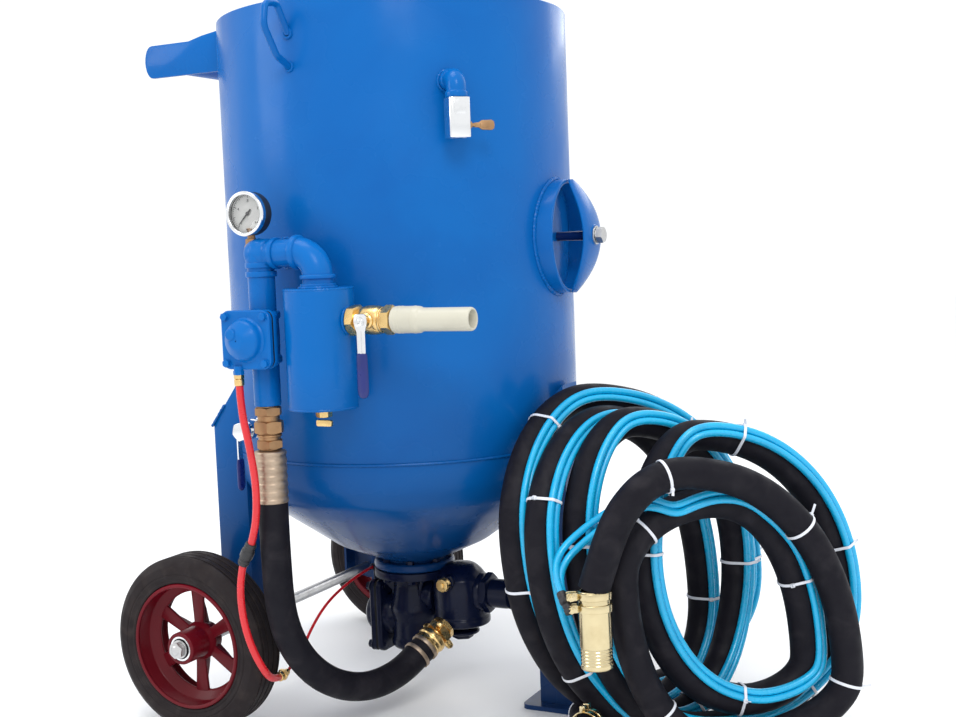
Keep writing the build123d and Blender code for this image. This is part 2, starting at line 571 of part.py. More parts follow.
def abrasive_valve():
    """Diaphragm valve under the outlet flange, its square-plated dome towards the wheels."""
    side, up = Vector(-1, 0, 0), Vector(0, 0, 1)
    face = Vector(-51, 0, GRIT_Z)
    body = rod((BODY_X, 0, 70), up, BODY_R, 138) + hexagon((BODY_X, 0, 62), up, 50, 9)
    body += rod((BODY_X, 0, GRIT_Z), side, 38, 50) + square_plate(face, side, 82, 11, tall=132)
    body += rod((BODY_X, 0, 175), -side, 30, 70)
    body += rod((0, 0, FLANGE_Z - 14), up, FLANGE_R, 14 - GAP)
    body -= tee_body_cut()
    body -= rod((0, 0, 90), up, 26, 140) + rod((0, 0, 175), -side, 22, 80)
    body -= rod((0, 0, GRIT_Z), side, 26, 80)
    bonnet = square_plate(face + side * 14, side, 82, 11, tall=132)
    dome = face + side * 25
    bonnet += rod(dome, side, 34, 14)
    bonnet += extrude(Plane(tuple(dome + side * 14), z_dir=tuple(side)) * Circle(34), 9, taper=40)
    bonnet += pilot_elbow()
    bonnet -= rod(face, side, 28, 32)
    diaphragm = square_plate(face + side * (11 + GAP), side, 80, 3 - 2 * GAP, tall=130)
    bolts = []
    for y in (-32, 32):
        for z in (GRIT_Z - 54, GRIT_Z + 54):
            cut = rod((face.X + 1, y, z), side, 4 + GAP, 40)
            body, bonnet, diaphragm = body - cut, bonnet - cut, diaphragm - cut
            bolts.append(rod((face.X + 0.2, y, z), side, 4, 25.2) + hexagon((face.X - 25, y, z), side, 13, 6))
    for spot in flange_spots():
        body -= rod(spot + up * 200, up, 4 + GAP, 40)
        bolts.append(rod(spot + up * 207, up, 4, 28) + hexagon(spot + up * 201.5, up, 13, 6.4))
    save("abrasive_valve_body", body)
    save("abrasive_valve_bonnet", bonnet)
    save("abrasive_valve_piston", rod(face + side * (14 + CLEAR), side, 24, 7))
    return diaphragm, bolts


def pilot_elbow():
    """Brass elbow on the bonnet's dome that takes the pilot tube."""
    end = Vector(*PILOT[-1])
    post = rod((end.X, 0, GRIT_Z + 30), (0, 0, 1), 5, end.Z - GRIT_Z - 25)
    return trimmed(post + rod((end.X, 0, end.Z), (0, -1, 0), 5, 14), (PILOT[-2], PILOT[-1]))


def mixing_tee():
    """Mixing chamber where air picks up the abrasive, its clean-out plug, outlet and metering knob."""
    up, front, knob_z = Vector(0, 0, 1), Vector(0, -1, 0), 208
    centre = Vector(TEE_X, 0, 0)
    outlet = centre + up * OUTLET_Z
    body = rod(centre + up * 125, up, TEE_R, 93)
    body += extrude(Plane((TEE_X, 0, 218)) * Circle(TEE_R), 18, taper=32)
    body -= rod((0, 0, 200), up, FLANGE_R + 2, 60)
    body += rod(outlet, (1, 0, 0), OUTLET_R, 146) + hexagon(outlet + Vector(47, 0, 0), (1, 0, 0), 62, 16)
    body += rod(centre + up * knob_z, front, 10, TEE_R + 8)
    body -= rod(centre + up * 124, up, 22, 100) + rod(outlet, (1, 0, 0), 17, 200)
    body -= rod((TEE_X, 0, 175), (-1, 0, 0), 22, 80)
    body -= rod(centre + up * knob_z, front, 4 + FIT, 90)
    air_end = Vector(RISER_X, AIR_Y, 0) + AIR_RUN * AIR_ROUTE[-1][0] + up * AIR_ROUTE[-1][1]
    body -= rod(air_end, END_DIR, PIPE_BORE, 110)
    plug = rod(centre + up * (125 - GAP), -up, 27, 14) + hexagon(centre + up * 111, -up, 32, 14)
    knob = rod(centre + up * knob_z + front * (TEE_R + 8 + CLEAR), front, 11, 14)
    knob -= rod(centre + up * knob_z, front, 4 + FIT, TEE_R + 19)
    for k in range(10):
        angle = 2 * pi * k / 10
        groove = Vector(12 * cos(angle), -TEE_R, knob_z + 12 * sin(angle))
        knob -= rod(centre + groove, front, 1.8, 30)
    save("mixing_tee", body)
    save("cleanout_plug", plug)
    save("metering_plunger", rod(centre + up * knob_z + front * 12, front, 4, TEE_R - 2))
    save("metering_knob", knob)


# ---- hand hole ------------------------------------------------------------------------
def hand_ellipse(x, half_y, half_z, length):
    """Elliptic disc across the hand hole axis."""
    return extrude(Plane((x, 0, HAND_Z), x_dir=(0, 1, 0), z_dir=(1, 0, 0)) * Ellipse(half_y, half_z), length)


def hand_hole_gasket():
    """Flat oval ring between the cover and the neck."""
    return hand_ellipse(283, HAND_Y - 1, HAND_H - 1, 4 - GAP) - hand_ellipse(280, HAND_Y - 9, HAND_H - 9, 10)


def hand_hole():
    """Oval neck, inside cover with its stud and bolt heads, leaf-shaped yoke and nut."""
    plus_x = (1, 0, 0)
    neck = hand_ellipse(287, HAND_Y, HAND_H, NECK_X - 287) - hand_ellipse(280, HAND_Y - 7, HAND_H - 7, 60)
    cover = hand_ellipse(275, HAND_Y - 1, HAND_H - 1, 8 - GAP)
    cover += hand_ellipse(280, HAND_Y - 11, HAND_H - 11, 12)
    cover += rod((291, 0, HAND_Z), plus_x, 8, 95) + hexagon((291, 0, HAND_Z), plus_x, 24, 13)
    for y, z in ((-34, 34), (-40, -12), (26, -44)):
        cover += rod((291, y, HAND_Z + z), plus_x, 5, 10) + hexagon((300, y, HAND_Z + z), plus_x, 13, 6)
    low, high, rim = HAND_Z - HAND_H, HAND_Z + HAND_H, NECK_X + CLEAR
    arch = [Line((rim, 0, low + 2), (rim + 9, 0, low)),
            ThreePointArc((rim + 9, 0, low), (373, 0, HAND_Z), (rim + 9, 0, high)),
            Line((rim + 9, 0, high), (rim, 0, high - 2)),
            ThreePointArc((rim, 0, high - 2), (365, 0, HAND_Z), (rim, 0, low + 2))]
    yoke = extrude(make_face(arch), 33, both=True) & hand_ellipse(300, 33, 100, 120)
    yoke -= rod((280, 0, HAND_Z), plus_x, 8 + CLEAR, 120)
    washer = ring((373 + CLEAR, 0, HAND_Z), plus_x, 15, 8 + FIT, 3)
    nut = hexagon((375 + CLEAR, 0, HAND_Z), plus_x, 24, 13) - rod((370, 0, HAND_Z), plus_x, 8 + FIT, 40)
    save("hand_hole_neck", neck)
    save("hand_hole_cover", cover)
    save("hand_hole_yoke", yoke)
    save("hand_hole_nut", nut + washer)


# ---- blast hose -----------------------------------------------------------------------
def coil_ring(along, depth, height, half_width, half_height, hole, thick, yaw, lean):
    """A thick elliptic ring that stands on edge, turned by yaw and leaning back."""
    right = ALONG * cos(radians(yaw)) + DEPTH * sin(radians(yaw))
    back = DEPTH * cos(radians(yaw)) - ALONG * sin(radians(yaw))
    up = Vector(0, 0, 1) * cos(radians(lean)) + back * sin(radians(lean))
    centre = ALONG * along + DEPTH * depth + Vector(0, 0, height)
    plane = Plane(tuple(centre), x_dir=tuple(right), z_dir=tuple(right.cross(up)))
    outline = Ellipse(half_width, half_height) - Ellipse(half_width - hole, half_height - hole)
    return extrude(plane * outline, thick / 2, both=True)


def blast_hose():
    """Loose coil of blast hose standing against the tank, its nozzle holder and claw coupling."""
    coil = coil_ring(372, -266, 290, 245, 287, 110, 150, 30, 2)
    coil += coil_ring(488, -402, 262, 222, 262, 120, 136, 6, 0)
    coil -= rod((0, 0, -60), (0, 0, 1), 1500, 62)
    coil -= rod((0, 0, 0), (0, 0, 1), TANK_R + 4, 700)
    holder = ring(HOLDER_TOP, HOLDER_DIR, 23, 19, 116)
    holder += ring(HOLDER_TOP + HOLDER_DIR * 112, HOLDER_DIR, 24, 19, 4)
    clamps = []
    for start in (2, 20):
        band = ring(HOLDER_TOP + HOLDER_DIR * start, HOLDER_DIR, 27, 23 + GAP, 11)
        lug_at = HOLDER_TOP + HOLDER_DIR * (start + 5.5) - ALONG * 33
        lug = Plane(tuple(lug_at), x_dir=tuple(ALONG), z_dir=tuple(HOLDER_DIR))
        band += extrude(lug * RectangleRounded(15, 15, 2), 5, both=True)
        band -= rod(HOLDER_TOP, HOLDER_DIR, 23 + GAP, 60)
        clamps.append(band)
    shank = rod(CLAW_AT - CLAW_DIR * 34, CLAW_DIR, 17, 40) + rod(CLAW_AT - CLAW_DIR * 8, CLAW_DIR, 27, 16)
    shank += rod(CLAW_AT + CLAW_DIR * 8, CLAW_DIR, 21, 18)
    for sign in (1, -1):
        shank += extrude(Plane(tuple(CLAW_AT + CLAW_DIR * 10), x_dir=(0, 0, sign), z_dir=tuple(CLAW_DIR))
                         * Pos(24, 0) * RectangleRounded(16, 22, 5), 26)
    shank -= rod(CLAW_AT - CLAW_DIR * 40, CLAW_DIR, 13, 90)
    tail_clamp = ring(CLAW_AT - CLAW_DIR * 66, CLAW_DIR, 27, 17 + GAP, 30)
    guard = rod(HOLDER_TOP - HOLDER_DIR * 40, HOLDER_DIR, 30, 170) + rod(CLAW_AT - CLAW_DIR * 75, CLAW_DIR, 32, 120)
    save("blast_hose_coil", coil - guard)
    save("nozzle_holder", holder)
    save("hose_clamps", *clamps, tail_clamp)
    save("claw_coupling", shank)


# ---- build ----------------------------------------------------------------------------
save("tank_shell", tank_shell())
save("tank_top_head", top_head())
save("tank_bottom_head", bottom_head())
filling_port()
running_gear()
save("riser_pipe", riser(), air_hose())
save("crossover_elbow", crossover())
separator()
inlet_valve()
remote_diaphragm, remote_bolts = remote_valve()
abrasive_diaphragm, abrasive_bolts = abrasive_valve()
save("valve_diaphragms", remote_diaphragm, abrasive_diaphragm)
save("valve_bolts", *remote_bolts, *abrasive_bolts)
gauge()
vent()
blow_down()
control_hoses()
mixing_tee()
hand_hole()
blast_hose()
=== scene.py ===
import random
from math import cos, pi, radians, sin, sqrt, tan

import bmesh
import bpy
import numpy as np
from mathutils import Matrix, Vector


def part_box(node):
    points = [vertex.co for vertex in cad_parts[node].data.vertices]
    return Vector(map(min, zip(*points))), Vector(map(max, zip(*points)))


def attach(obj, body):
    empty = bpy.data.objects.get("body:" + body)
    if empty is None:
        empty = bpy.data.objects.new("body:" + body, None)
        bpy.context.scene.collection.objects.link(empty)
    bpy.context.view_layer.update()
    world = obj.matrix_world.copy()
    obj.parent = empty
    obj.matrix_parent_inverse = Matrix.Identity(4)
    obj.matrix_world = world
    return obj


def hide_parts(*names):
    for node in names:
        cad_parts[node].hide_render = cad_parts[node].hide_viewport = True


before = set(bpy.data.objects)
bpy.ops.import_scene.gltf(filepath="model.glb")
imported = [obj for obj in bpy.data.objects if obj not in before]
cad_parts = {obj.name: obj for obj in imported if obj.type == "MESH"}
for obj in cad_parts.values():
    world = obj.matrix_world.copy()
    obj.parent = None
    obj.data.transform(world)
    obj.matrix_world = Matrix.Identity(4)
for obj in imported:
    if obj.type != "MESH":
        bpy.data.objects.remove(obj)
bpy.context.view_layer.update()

random.seed(7)
MM = 0.001
shell_low, shell_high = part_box("tank_shell")
AXIS = Vector(((shell_low[0] + shell_high[0]) / 2, (shell_low[1] + shell_high[1]) / 2, 0))
UP, FRONT, RIGHT = Vector((0, 0, 1)), Vector((0, -1, 0)), Vector((1, 0, 0))

# ---- driving dimensions (millimetres) ---------------------------------------------------
TANK_R, TANK_IN, SEAM_Z, RIM_Z = 305.0, 297.0, 457.0, 1196.0
HEAD_Z, PORT_R = 1112.0, 72.0
AXLE_X, AXLE_Z, WHEEL_Y, WHEEL_R, RIM_R, TYRE_HALF = -237.0, 150.0, 330.0, 150.0, 107.0, 37.0
AIR_Y, RISER_X, RUN_Z, PIPE_R, FITTING_R = -364.0, -43.0, 798.0, 21.2, 26.5
SEP_X, SEP_R, SEP_BOTTOM, SEP_TOP, INLET_Z = 62.0, 54.0, 558.0, 743.0, 693.0
BRACKET_Z, BRACKET_TALL = 650.0, 116.0
VALVE_Z, HOSE_R, HOSE_TOP, FERRULE, UNION = 667.0, 24.0, 405.0, 85.0, 70.0
HAND_Z, HAND_Y, HAND_H, NECK_X = 808.0, 75.0, 95.0, 327.0
TEE_X, TEE_R, OUTLET_Z, OUTLET_R = 94.0, 50.0, 183.0, 25.5
BODY_X, BODY_R, GRIT_Z, FLANGE_R, FLANGE_Z = -4.0, 43.0, 130.0, 73.0, 222.0
GAUGE_X, GAUGE_Z, GAUGE_R = -58.0, 861.0, 34.0
LUG_X, LUG_LOW, LUG_HIGH = -12.0, 1089.0, 1140.0
GRIP_X, GRIP_Z, ARM_Y, ARM_HALF = -402.0, 1150.0, 150.0, 29.0
VENT_ANGLE, VENT_Z, BLOW_X, BLOW_Z, KNOB_Z = -44.0, 1055.0, -118.0, 512.0, 208.0
LEG_BACK, LEG_FRONT, LEG_OUT, LEG_BOTTOM, LEG_TOP = -271.0, -203.0, 218.0, 130.0, 500.0
SPOKES, FLANGE_BOLTS = 6, 8
AIR_RUN = Vector((0.388, 0.922, 0))
AIR_ROUTE = [(0, 405), (0, 331), (3, 222), (30, 150), (84, 92), (156, 62), (229, 68), (290, 104)]
END_DIR = Vector((61 * AIR_RUN.x, 61 * AIR_RUN.y, 36)).normalized()
RED_TOP = [(-59, -413, 609), (-59, -413, 560), (-49, -409, 500), (-44, -404, 440), (-49, -401, 385),
           (-64, -397, 345)]
RED_LOW = [(-88, -391, 308), (-97, -390, 268), (-95, -390, 222), (-84, -388, 176), (-70, -377, 134),
           (-76, -345, 106), (-84, -316, 101)]
PILOT = [(-84, -292, 103), (-86, -246, 124), (-93, -198, 156), (-97, -146, 181), (-93, -92, 199),
         (-86, -46, 211), (-83, -12, 214)]
ALONG = Vector((cos(radians(30)), sin(radians(30)), 0))
DEPTH = Vector((-sin(radians(30)), cos(radians(30)), 0))
CYAN_R, LANE_TURN, TIE_GAP = 5.6, 11.5, 290.0

# the photograph's viewing angle, and the light
CAMERA_AT = (1188.94, -2046.83, 797.23)
CAMERA_RIGHT = Vector((0.89178, 0.45088, -0.03791))
CAMERA_UP = Vector((-0.00474, 0.09308, 0.99565))
LENS, SENSOR = 49.51, 36.0
FLOOR_SIZE = 30
# name, place and size in metres, power in watts
LAMPS = [
    ("key", (2.0, -2.8, 3.2), 1.4, 52), ("left", (-2.6, -2.0, 1.9), 1.2, 14),
    ("rim", (0.6, 3.0, 2.6), 2.0, 24), ("top", (-0.3, -0.6, 3.4), 1.4, 26),
]
LAMP_AIM = Vector((0.1, 0, 0.6))
GLOSS_SPECULAR, GLOSS_COAT = 0.14, 0.05


# ---- places -------------------------------------------------------------------------------
def place(point):
    """A point in millimetres from the tank axis, in the frame's metres."""
    return AXIS + Vector(point) * MM


def coil_place(along, depth, height):
    """A point by its distance across the coil, its depth away from the camera and its height."""
    return ALONG * along + DEPTH * depth + UP * height


HOLDER_TOP = coil_place(261, -490, 290)
HOLDER_DIR = Vector((0.04, -0.05, -1)).normalized()
CLAW_AT = coil_place(226, -473, 62)
CLAW_DIR = (ALONG * -0.55 - DEPTH * 0.83).normalized()


# ---- materials ----------------------------------------------------------------------------
class Look:
    """A procedural material on object coordinates, built one layer at a time."""

    def __init__(self, name, colour, roughness=0.4, metallic=0.0, sockets=None):
        self.material = bpy.data.materials.new(name)
        self.material.use_nodes = True
        self.nodes, self.links = self.material.node_tree.nodes, self.material.node_tree.links
        self.shader = self.nodes["Principled BSDF"]
        self.normal = None
        self.base = None
        values = {"Base Color": (*colour, 1), "Roughness": roughness, "Metallic": metallic, **(sockets or {})}
        for socket, value in values.items():
            self.shader.inputs[socket].default_value = value
        self.coordinates = self.nodes.new("ShaderNodeTexCoord")

    def mapped(self, stretch=(1, 1, 1)):
        mapping = self.nodes.new("ShaderNodeMapping")
        mapping.inputs["Scale"].default_value = stretch
        self.links.new(self.coordinates.outputs["Object"], mapping.inputs["Vector"])
        return mapping.outputs["Vector"]

    def noise(self, scale, detail=4.0, stretch=(1, 1, 1), distortion=0.0):
        node = self.nodes.new("ShaderNodeTexNoise")
        node.inputs["Scale"].default_value = scale
        node.inputs["Detail"].default_value = detail
        node.inputs["Distortion"].default_value = distortion
        self.links.new(self.mapped(stretch), node.inputs["Vector"])
        return node.outputs["Fac"]

    def cells(self, scale, feature="F1", stretch=(1, 1, 1)):
        node = self.nodes.new("ShaderNodeTexVoronoi")
        node.feature = feature
        node.inputs["Scale"].default_value = scale
        self.links.new(self.mapped(stretch), node.inputs["Vector"])
        return node.outputs["Distance"]

    def spread(self, value, low, high, to_low=0.0, to_high=1.0):
        node = self.nodes.new("ShaderNodeMapRange")
        limits = {"From Min": low, "From Max": high, "To Min": to_low, "To Max": to_high}
        for socket, number in limits.items():
            node.inputs[socket].default_value = number
        self.links.new(value, node.inputs["Value"])
        return node.outputs["Result"]

    def product(self, first, second):
        node = self.nodes.new("ShaderNodeMath")
        node.operation = "MULTIPLY"
        self.links.new(first, node.inputs[0])
        self.links.new(second, node.inputs[1])
        return node.outputs[0]

    def tint(self, factor, colour):
        """Mixes a colour over the base where factor is high."""
        node = self.nodes.new("ShaderNodeMix")
        node.data_type = "RGBA"
        node.inputs["A"].default_value = self.shader.inputs["Base Color"].default_value
        if self.base:
            self.links.new(self.base, node.inputs["A"])
        node.inputs["B"].default_value = (*colour, 1)
        self.links.new(factor, node.inputs["Factor"])
        self.base = node.outputs["Result"]
        self.links.new(self.base, self.shader.inputs["Base Color"])
        return self

    def height(self):
        """How high above the floor a surface point is, in metres."""
        node = self.nodes.new("ShaderNodeSeparateXYZ")
        self.links.new(self.coordinates.outputs["Object"], node.inputs[0])
        return node.outputs["Z"]

    def rough(self, value):
        self.links.new(value, self.shader.inputs["Roughness"])
        return self

    def bump(self, value, strength, distance):
        node = self.nodes.new("ShaderNodeBump")
        node.inputs["Strength"].default_value = strength
        node.inputs["Distance"].default_value = distance
        self.links.new(value, node.inputs["Height"])
        if self.normal:
            self.links.new(self.normal, node.inputs["Normal"])
        self.normal = node.outputs["Normal"]
        self.links.new(self.normal, self.shader.inputs["Normal"])
        return self


def enamel(name, colour, dark, waviness=0.35, roughness=0.24):
    """Brushed-on gloss enamel: wavy plate, fine orange peel, thin spots, painted shade that darkens it low
    down, and dust low down.
    """
    gloss = {"Coat Weight": GLOSS_COAT, "Coat Roughness": 0.1, "Specular IOR Level": GLOSS_SPECULAR}
    look = Look(name, colour, roughness, sockets=gloss)
    look.tint(look.spread(look.noise(4.5, 5, distortion=0.4), 0.42, 0.75, 0, 0.5), dark)
    # painted shade: the colour darkens from 0.62 m down to 0.20 m, standing in for the shade on low,
    # downward-turned surfaces
    look.tint(look.spread(look.height(), 0.62, 0.20, 0, 0.92), [part * 0.30 for part in dark])
    dust = look.product(look.spread(look.height(), 0.30, 0.0, 0.0, 0.08), look.noise(14, 6))
    look.tint(dust, (0.20, 0.19, 0.17))
    look.tint(look.spread(look.cells(260), 0.05, 0.0, 0, 0.5), dark)
    look.rough(look.spread(look.noise(9, 4), 0.35, 0.7, roughness - 0.06, roughness + 0.14))
    look.bump(look.noise(5.5, 2, stretch=(1, 1, 0.45), distortion=0.3), waviness, 0.012)
    look.bump(look.noise(210, 3), 0.10, 0.0006)
    return look.material


def metal(name, colour, dark, roughness=0.3, scratches=0.3):
    """Machined or plated metal with faint tarnish and fine scratches."""
    look = Look(name, colour, roughness, 1.0)
    look.tint(look.spread(look.noise(38, 6), 0.45, 0.85, 0, 0.5), dark)
    look.rough(look.spread(look.noise(90, 5), 0.3, 0.75, roughness * 0.8, roughness * 1.4))
    look.bump(look.noise(420, 3, stretch=(1, 1, 0.2)), scratches * 0.25, 0.0003)
    look.bump(look.noise(60, 3), scratches * 0.2, 0.0005)
    return look.material


def rubber(name, colour, grey, roughness, grain):
    """Black rubber with bloom, dust and a fine cloth-wrap grain."""
    look = Look(name, colour, roughness, sockets={"Specular IOR Level": GLOSS_SPECULAR})
    look.tint(look.spread(look.noise(26, 6, distortion=0.6), 0.5, 0.8, 0, 0.55), grey)
    look.rough(look.spread(look.noise(40, 4), 0.3, 0.7, roughness - 0.12, roughness + 0.2))
    look.bump(look.noise(grain, 2), 0.35, 0.0005)
    look.bump(look.noise(45, 3), 0.3, 0.0012)
    return look.material


def plastic(name, colour, dark, roughness=0.35, sockets=None):
    """Moulded or painted surface with faint handling marks."""
    look = Look(name, colour, roughness, 0.0, sockets)
    look.tint(look.spread(look.noise(30, 5), 0.45, 0.8, 0, 0.5), dark)
    look.rough(look.spread(look.noise(60, 4), 0.3, 0.7, roughness - 0.08, roughness + 0.12))
    look.bump(look.noise(180, 3), 0.12, 0.0005)
    return look.material


def glass():
    """Clear window glass, a little smeared."""
    look = Look("gauge_glass", (1, 1, 1), 0.03, 0.0, {"Transmission Weight": 1.0, "IOR": 1.45})
    look.rough(look.spread(look.noise(70, 5), 0.5, 0.8, 0.02, 0.12))
    return look.material


LOOKS = {
    "blue": enamel("blue_enamel", (0.001, 0.112, 0.395), (0.001, 0.066, 0.29)),
    "fitting_blue": enamel("fitting_blue", (0.0015, 0.125, 0.43), (0.001, 0.062, 0.27), 0.2, 0.26),
    "dark_blue": enamel("dark_blue_enamel", (0.001, 0.016, 0.10), (0.001, 0.008, 0.05), 0.25, 0.26),
    "red": enamel("red_enamel", (0.34, 0.003, 0.022), (0.30, 0.002, 0.018), 0.15, 0.3),
    "tyre": rubber("tyre_rubber", (0.017, 0.013, 0.014), (0.055, 0.043, 0.038), 0.6, 380),
    "hose": rubber("hose_rubber", (0.0065, 0.006, 0.010), (0.028, 0.025, 0.030), 0.55, 650),
    "seal": rubber("seal_rubber", (0.012, 0.012, 0.012), (0.035, 0.035, 0.035), 0.6, 700),
    "steel": metal("turned_steel", (0.55, 0.55, 0.55), (0.30, 0.29, 0.28), 0.34),
    "cast_silver": metal("silver_brass", (0.66, 0.56, 0.34), (0.42, 0.31, 0.15), 0.2, 0.12),
    "brass": metal("brass", (0.80, 0.56, 0.24), (0.45, 0.27, 0.10), 0.26),
    "old_brass": metal("old_brass", (0.42, 0.25, 0.13), (0.18, 0.10, 0.06), 0.42, 0.6),
    "chrome": metal("chrome", (0.80, 0.81, 0.82), (0.55, 0.55, 0.56), 0.14, 0.12),
    "zinc": plastic("adapter_paint", (0.52, 0.50, 0.41), (0.42, 0.40, 0.33), 0.42),
    "vinyl": plastic("blue_vinyl", (0.004, 0.012, 0.14), (0.003, 0.008, 0.08), 0.3),
    "cyan": plastic("cyan_hose", (0.004, 0.40, 0.70), (0.003, 0.26, 0.52), 0.26, {"Coat Weight": 0.2}),
    "red_hose": plastic("red_hose", (0.62, 0.010, 0.018), (0.42, 0.006, 0.012), 0.28, {"Coat Weight": 0.2}),
    "nylon": plastic("white_nylon", (0.72, 0.74, 0.80), (0.60, 0.62, 0.70), 0.4),
    "black": plastic("black_plastic", (0.012, 0.012, 0.015), (0.03, 0.03, 0.032), 0.35),
    "dial": plastic("white_dial", (0.80, 0.80, 0.78), (0.72, 0.72, 0.69), 0.45),
    "ferrule": metal("ferrule", (0.46, 0.36, 0.27), (0.25, 0.18, 0.13), 0.45, 0.5),
    "glass": glass(),
}


# ---- camera, light and floor --------------------------------------------------------------
def studio():
    """The photograph's viewing angle, a pale floor and soft light from above and both sides."""
    scene = bpy.context.scene
    camera = bpy.data.objects.new("camera", bpy.data.cameras.new("camera"))
    scene.collection.objects.link(camera)
    camera.data.lens, camera.data.sensor_width = LENS, SENSOR
    turn = Matrix((CAMERA_RIGHT, CAMERA_UP, CAMERA_RIGHT.cross(CAMERA_UP))).transposed().to_4x4()
    camera.matrix_world = Matrix.Translation(place(CAMERA_AT)) @ turn
    camera.data.clip_start, camera.data.clip_end = 0.05, 60
    scene.camera = camera
    bpy.ops.mesh.primitive_grid_add(x_subdivisions=4, y_subdivisions=4, size=FLOOR_SIZE, location=(0, 0, 0))
    floor = bpy.context.object
    floor.name = "floor"
    pale = Look("pale_floor", (0.93, 0.935, 0.94), 0.7)
    pale.tint(pale.spread(pale.noise(1.2, 3), 0.3, 0.7, 0, 0.5), (0.90, 0.905, 0.91))
    floor.data.materials.append(pale.material)
    world = bpy.data.worlds.new("studio")
    world.use_nodes = True
    world.node_tree.nodes["Background"].inputs["Color"].default_value = (0.98, 0.99, 1.0, 1)
    world.node_tree.nodes["Background"].inputs["Strength"].default_value = 1.12
    scene.world = world
    scene.view_settings.view_transform = "Standard"
    for name, spot, size, power in LAMPS:
        lamp = bpy.data.objects.new(name, bpy.data.lights.new(name, "AREA"))
        lamp.data.size, lamp.data.energy = size, power
        lamp.location = spot
        lamp.rotation_euler = (LAMP_AIM - Vector(spot)).to_track_quat("-Z", "Y").to_euler()
        scene.collection.objects.link(lamp)


# ---- cords --------------------------------------------------------------------------------
def finish_piece(obj, look, body, replaces=()):
    """Gives a piece its look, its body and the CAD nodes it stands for."""
    obj.data.materials.append(LOOKS[look])
    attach(obj, body)
    if replaces:
        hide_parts(*replaces)
    return obj


def line(name, points, radius, sides=6):
    """A smooth NURBS line drawn by its control points, as a round tube."""
    curve = bpy.data.curves.new(name, "CURVE")
    curve.dimensions = "3D"
    curve.bevel_depth = radius * MM
    curve.bevel_resolution = sides
    curve.use_fill_caps = True
    spline = curve.splines.new("NURBS")
    spline.points.add(len(points) - 1)
    for slot_point, point in zip(spline.points, points):
        slot_point.co = (*place(point), 1)
    spline.order_u = 3
    spline.use_endpoint_u = True
    spline.resolution_u = 8
    obj = bpy.data.objects.new(name, curve)
    bpy.context.scene.collection.objects.link(obj)
    return obj


def evaluated(points):
    """Points along the smooth line of a route, in millimetres from the tank axis."""
    bare = line("bare_route", points, 0)
    bare.data.use_fill_caps = False
    mesh = bpy.data.meshes.new_from_object(bare)
    found = [(vertex.co - AXIS) / MM for vertex in mesh.vertices]
    bpy.data.objects.remove(bare)
    bpy.data.meshes.remove(mesh)
    return found


# lowest, right, highest and left point of each turn, as (along, depth, height)
COIL_TURNS = [
    [(345, -197, 28), (586, -112, 200), (302, -215, 545), (155, -345, 345)],
    [(357, -279, 28), (489, -190, 181), (321, -268, 514), (191, -392, 338)],
    [(384, -342, 30), (536, -242, 261), (354, -318, 515), (251, -385, 333)],
    [(430, -390, 30), (685, -330, 209), (446, -368, 497), (348, -390, 303)],
    [(495, -412, 82), (605, -395, 143), (459, -425, 401), (306, -455, 293)],
    [(445, -452, 30), (659, -436, 127), (411, -472, 457)],
]
COIL_LEAD = [(250, -432, 52), (262, -405, 42), (268, -365, 30), (262, -318, 28), (270, -262, 28),
             (300, -220, 28)]
COIL_TAIL = [(349, -487, 448), (306, -492, 407), (282, -492, 356), (261, -490, 290)]


def coil_route(steps=4):
    """The blast hose's control points: a lead from the claw, oval quarter turns, and the nozzle end."""
    stops = [stop for turn in COIL_TURNS for stop in turn]
    route = list(COIL_LEAD)
    for number, (here, there) in enumerate(zip(stops, stops[1:])):
        for k in range(steps):
            angle = pi / 2 * k / steps
            early, late = sin(angle), 1 - cos(angle)
            if number % 2:
                early, late = late, early
            route.append((here[0] + (there[0] - here[0]) * early,
                          here[1] + (there[1] - here[1]) * (1 - cos(2 * angle)) / 2,
                          here[2] + (there[2] - here[2]) * late))
    return [coil_place(*point) for point in [*route, stops[-1], *COIL_TAIL]]


# ---- mesh building ------------------------------------------------------------------------
def frame_on(axis, across=None):
    """Two unit vectors square to an axis; the first is as near as can be to across."""
    axis = Vector(axis).normalized()
    guide = Vector(across) if across else (UP if abs(axis.z) < 0.9 else RIGHT)
    first = (guide - axis * guide.dot(axis)).normalized()
    return first, axis.cross(first)


def softened(profile, radius, steps=3):
    """An open outline with each inner corner rounded, as far as its neighbours allow."""
    points = [Vector(point) for point in profile]
    outline = [points[0]]
    for before, here, after in zip(points, points[1:], points[2:]):
        cut = min(radius, (here - before).length * 0.45, (after - here).length * 0.45)
        start = here + (before - here).normalized() * cut
        end = here + (after - here).normalized() * cut
        for k in range(steps + 1):
            t = k / steps
            outline.append(start * (1 - t) ** 2 + here * 2 * t * (1 - t) + end * t**2)
    return outline + [points[-1]]


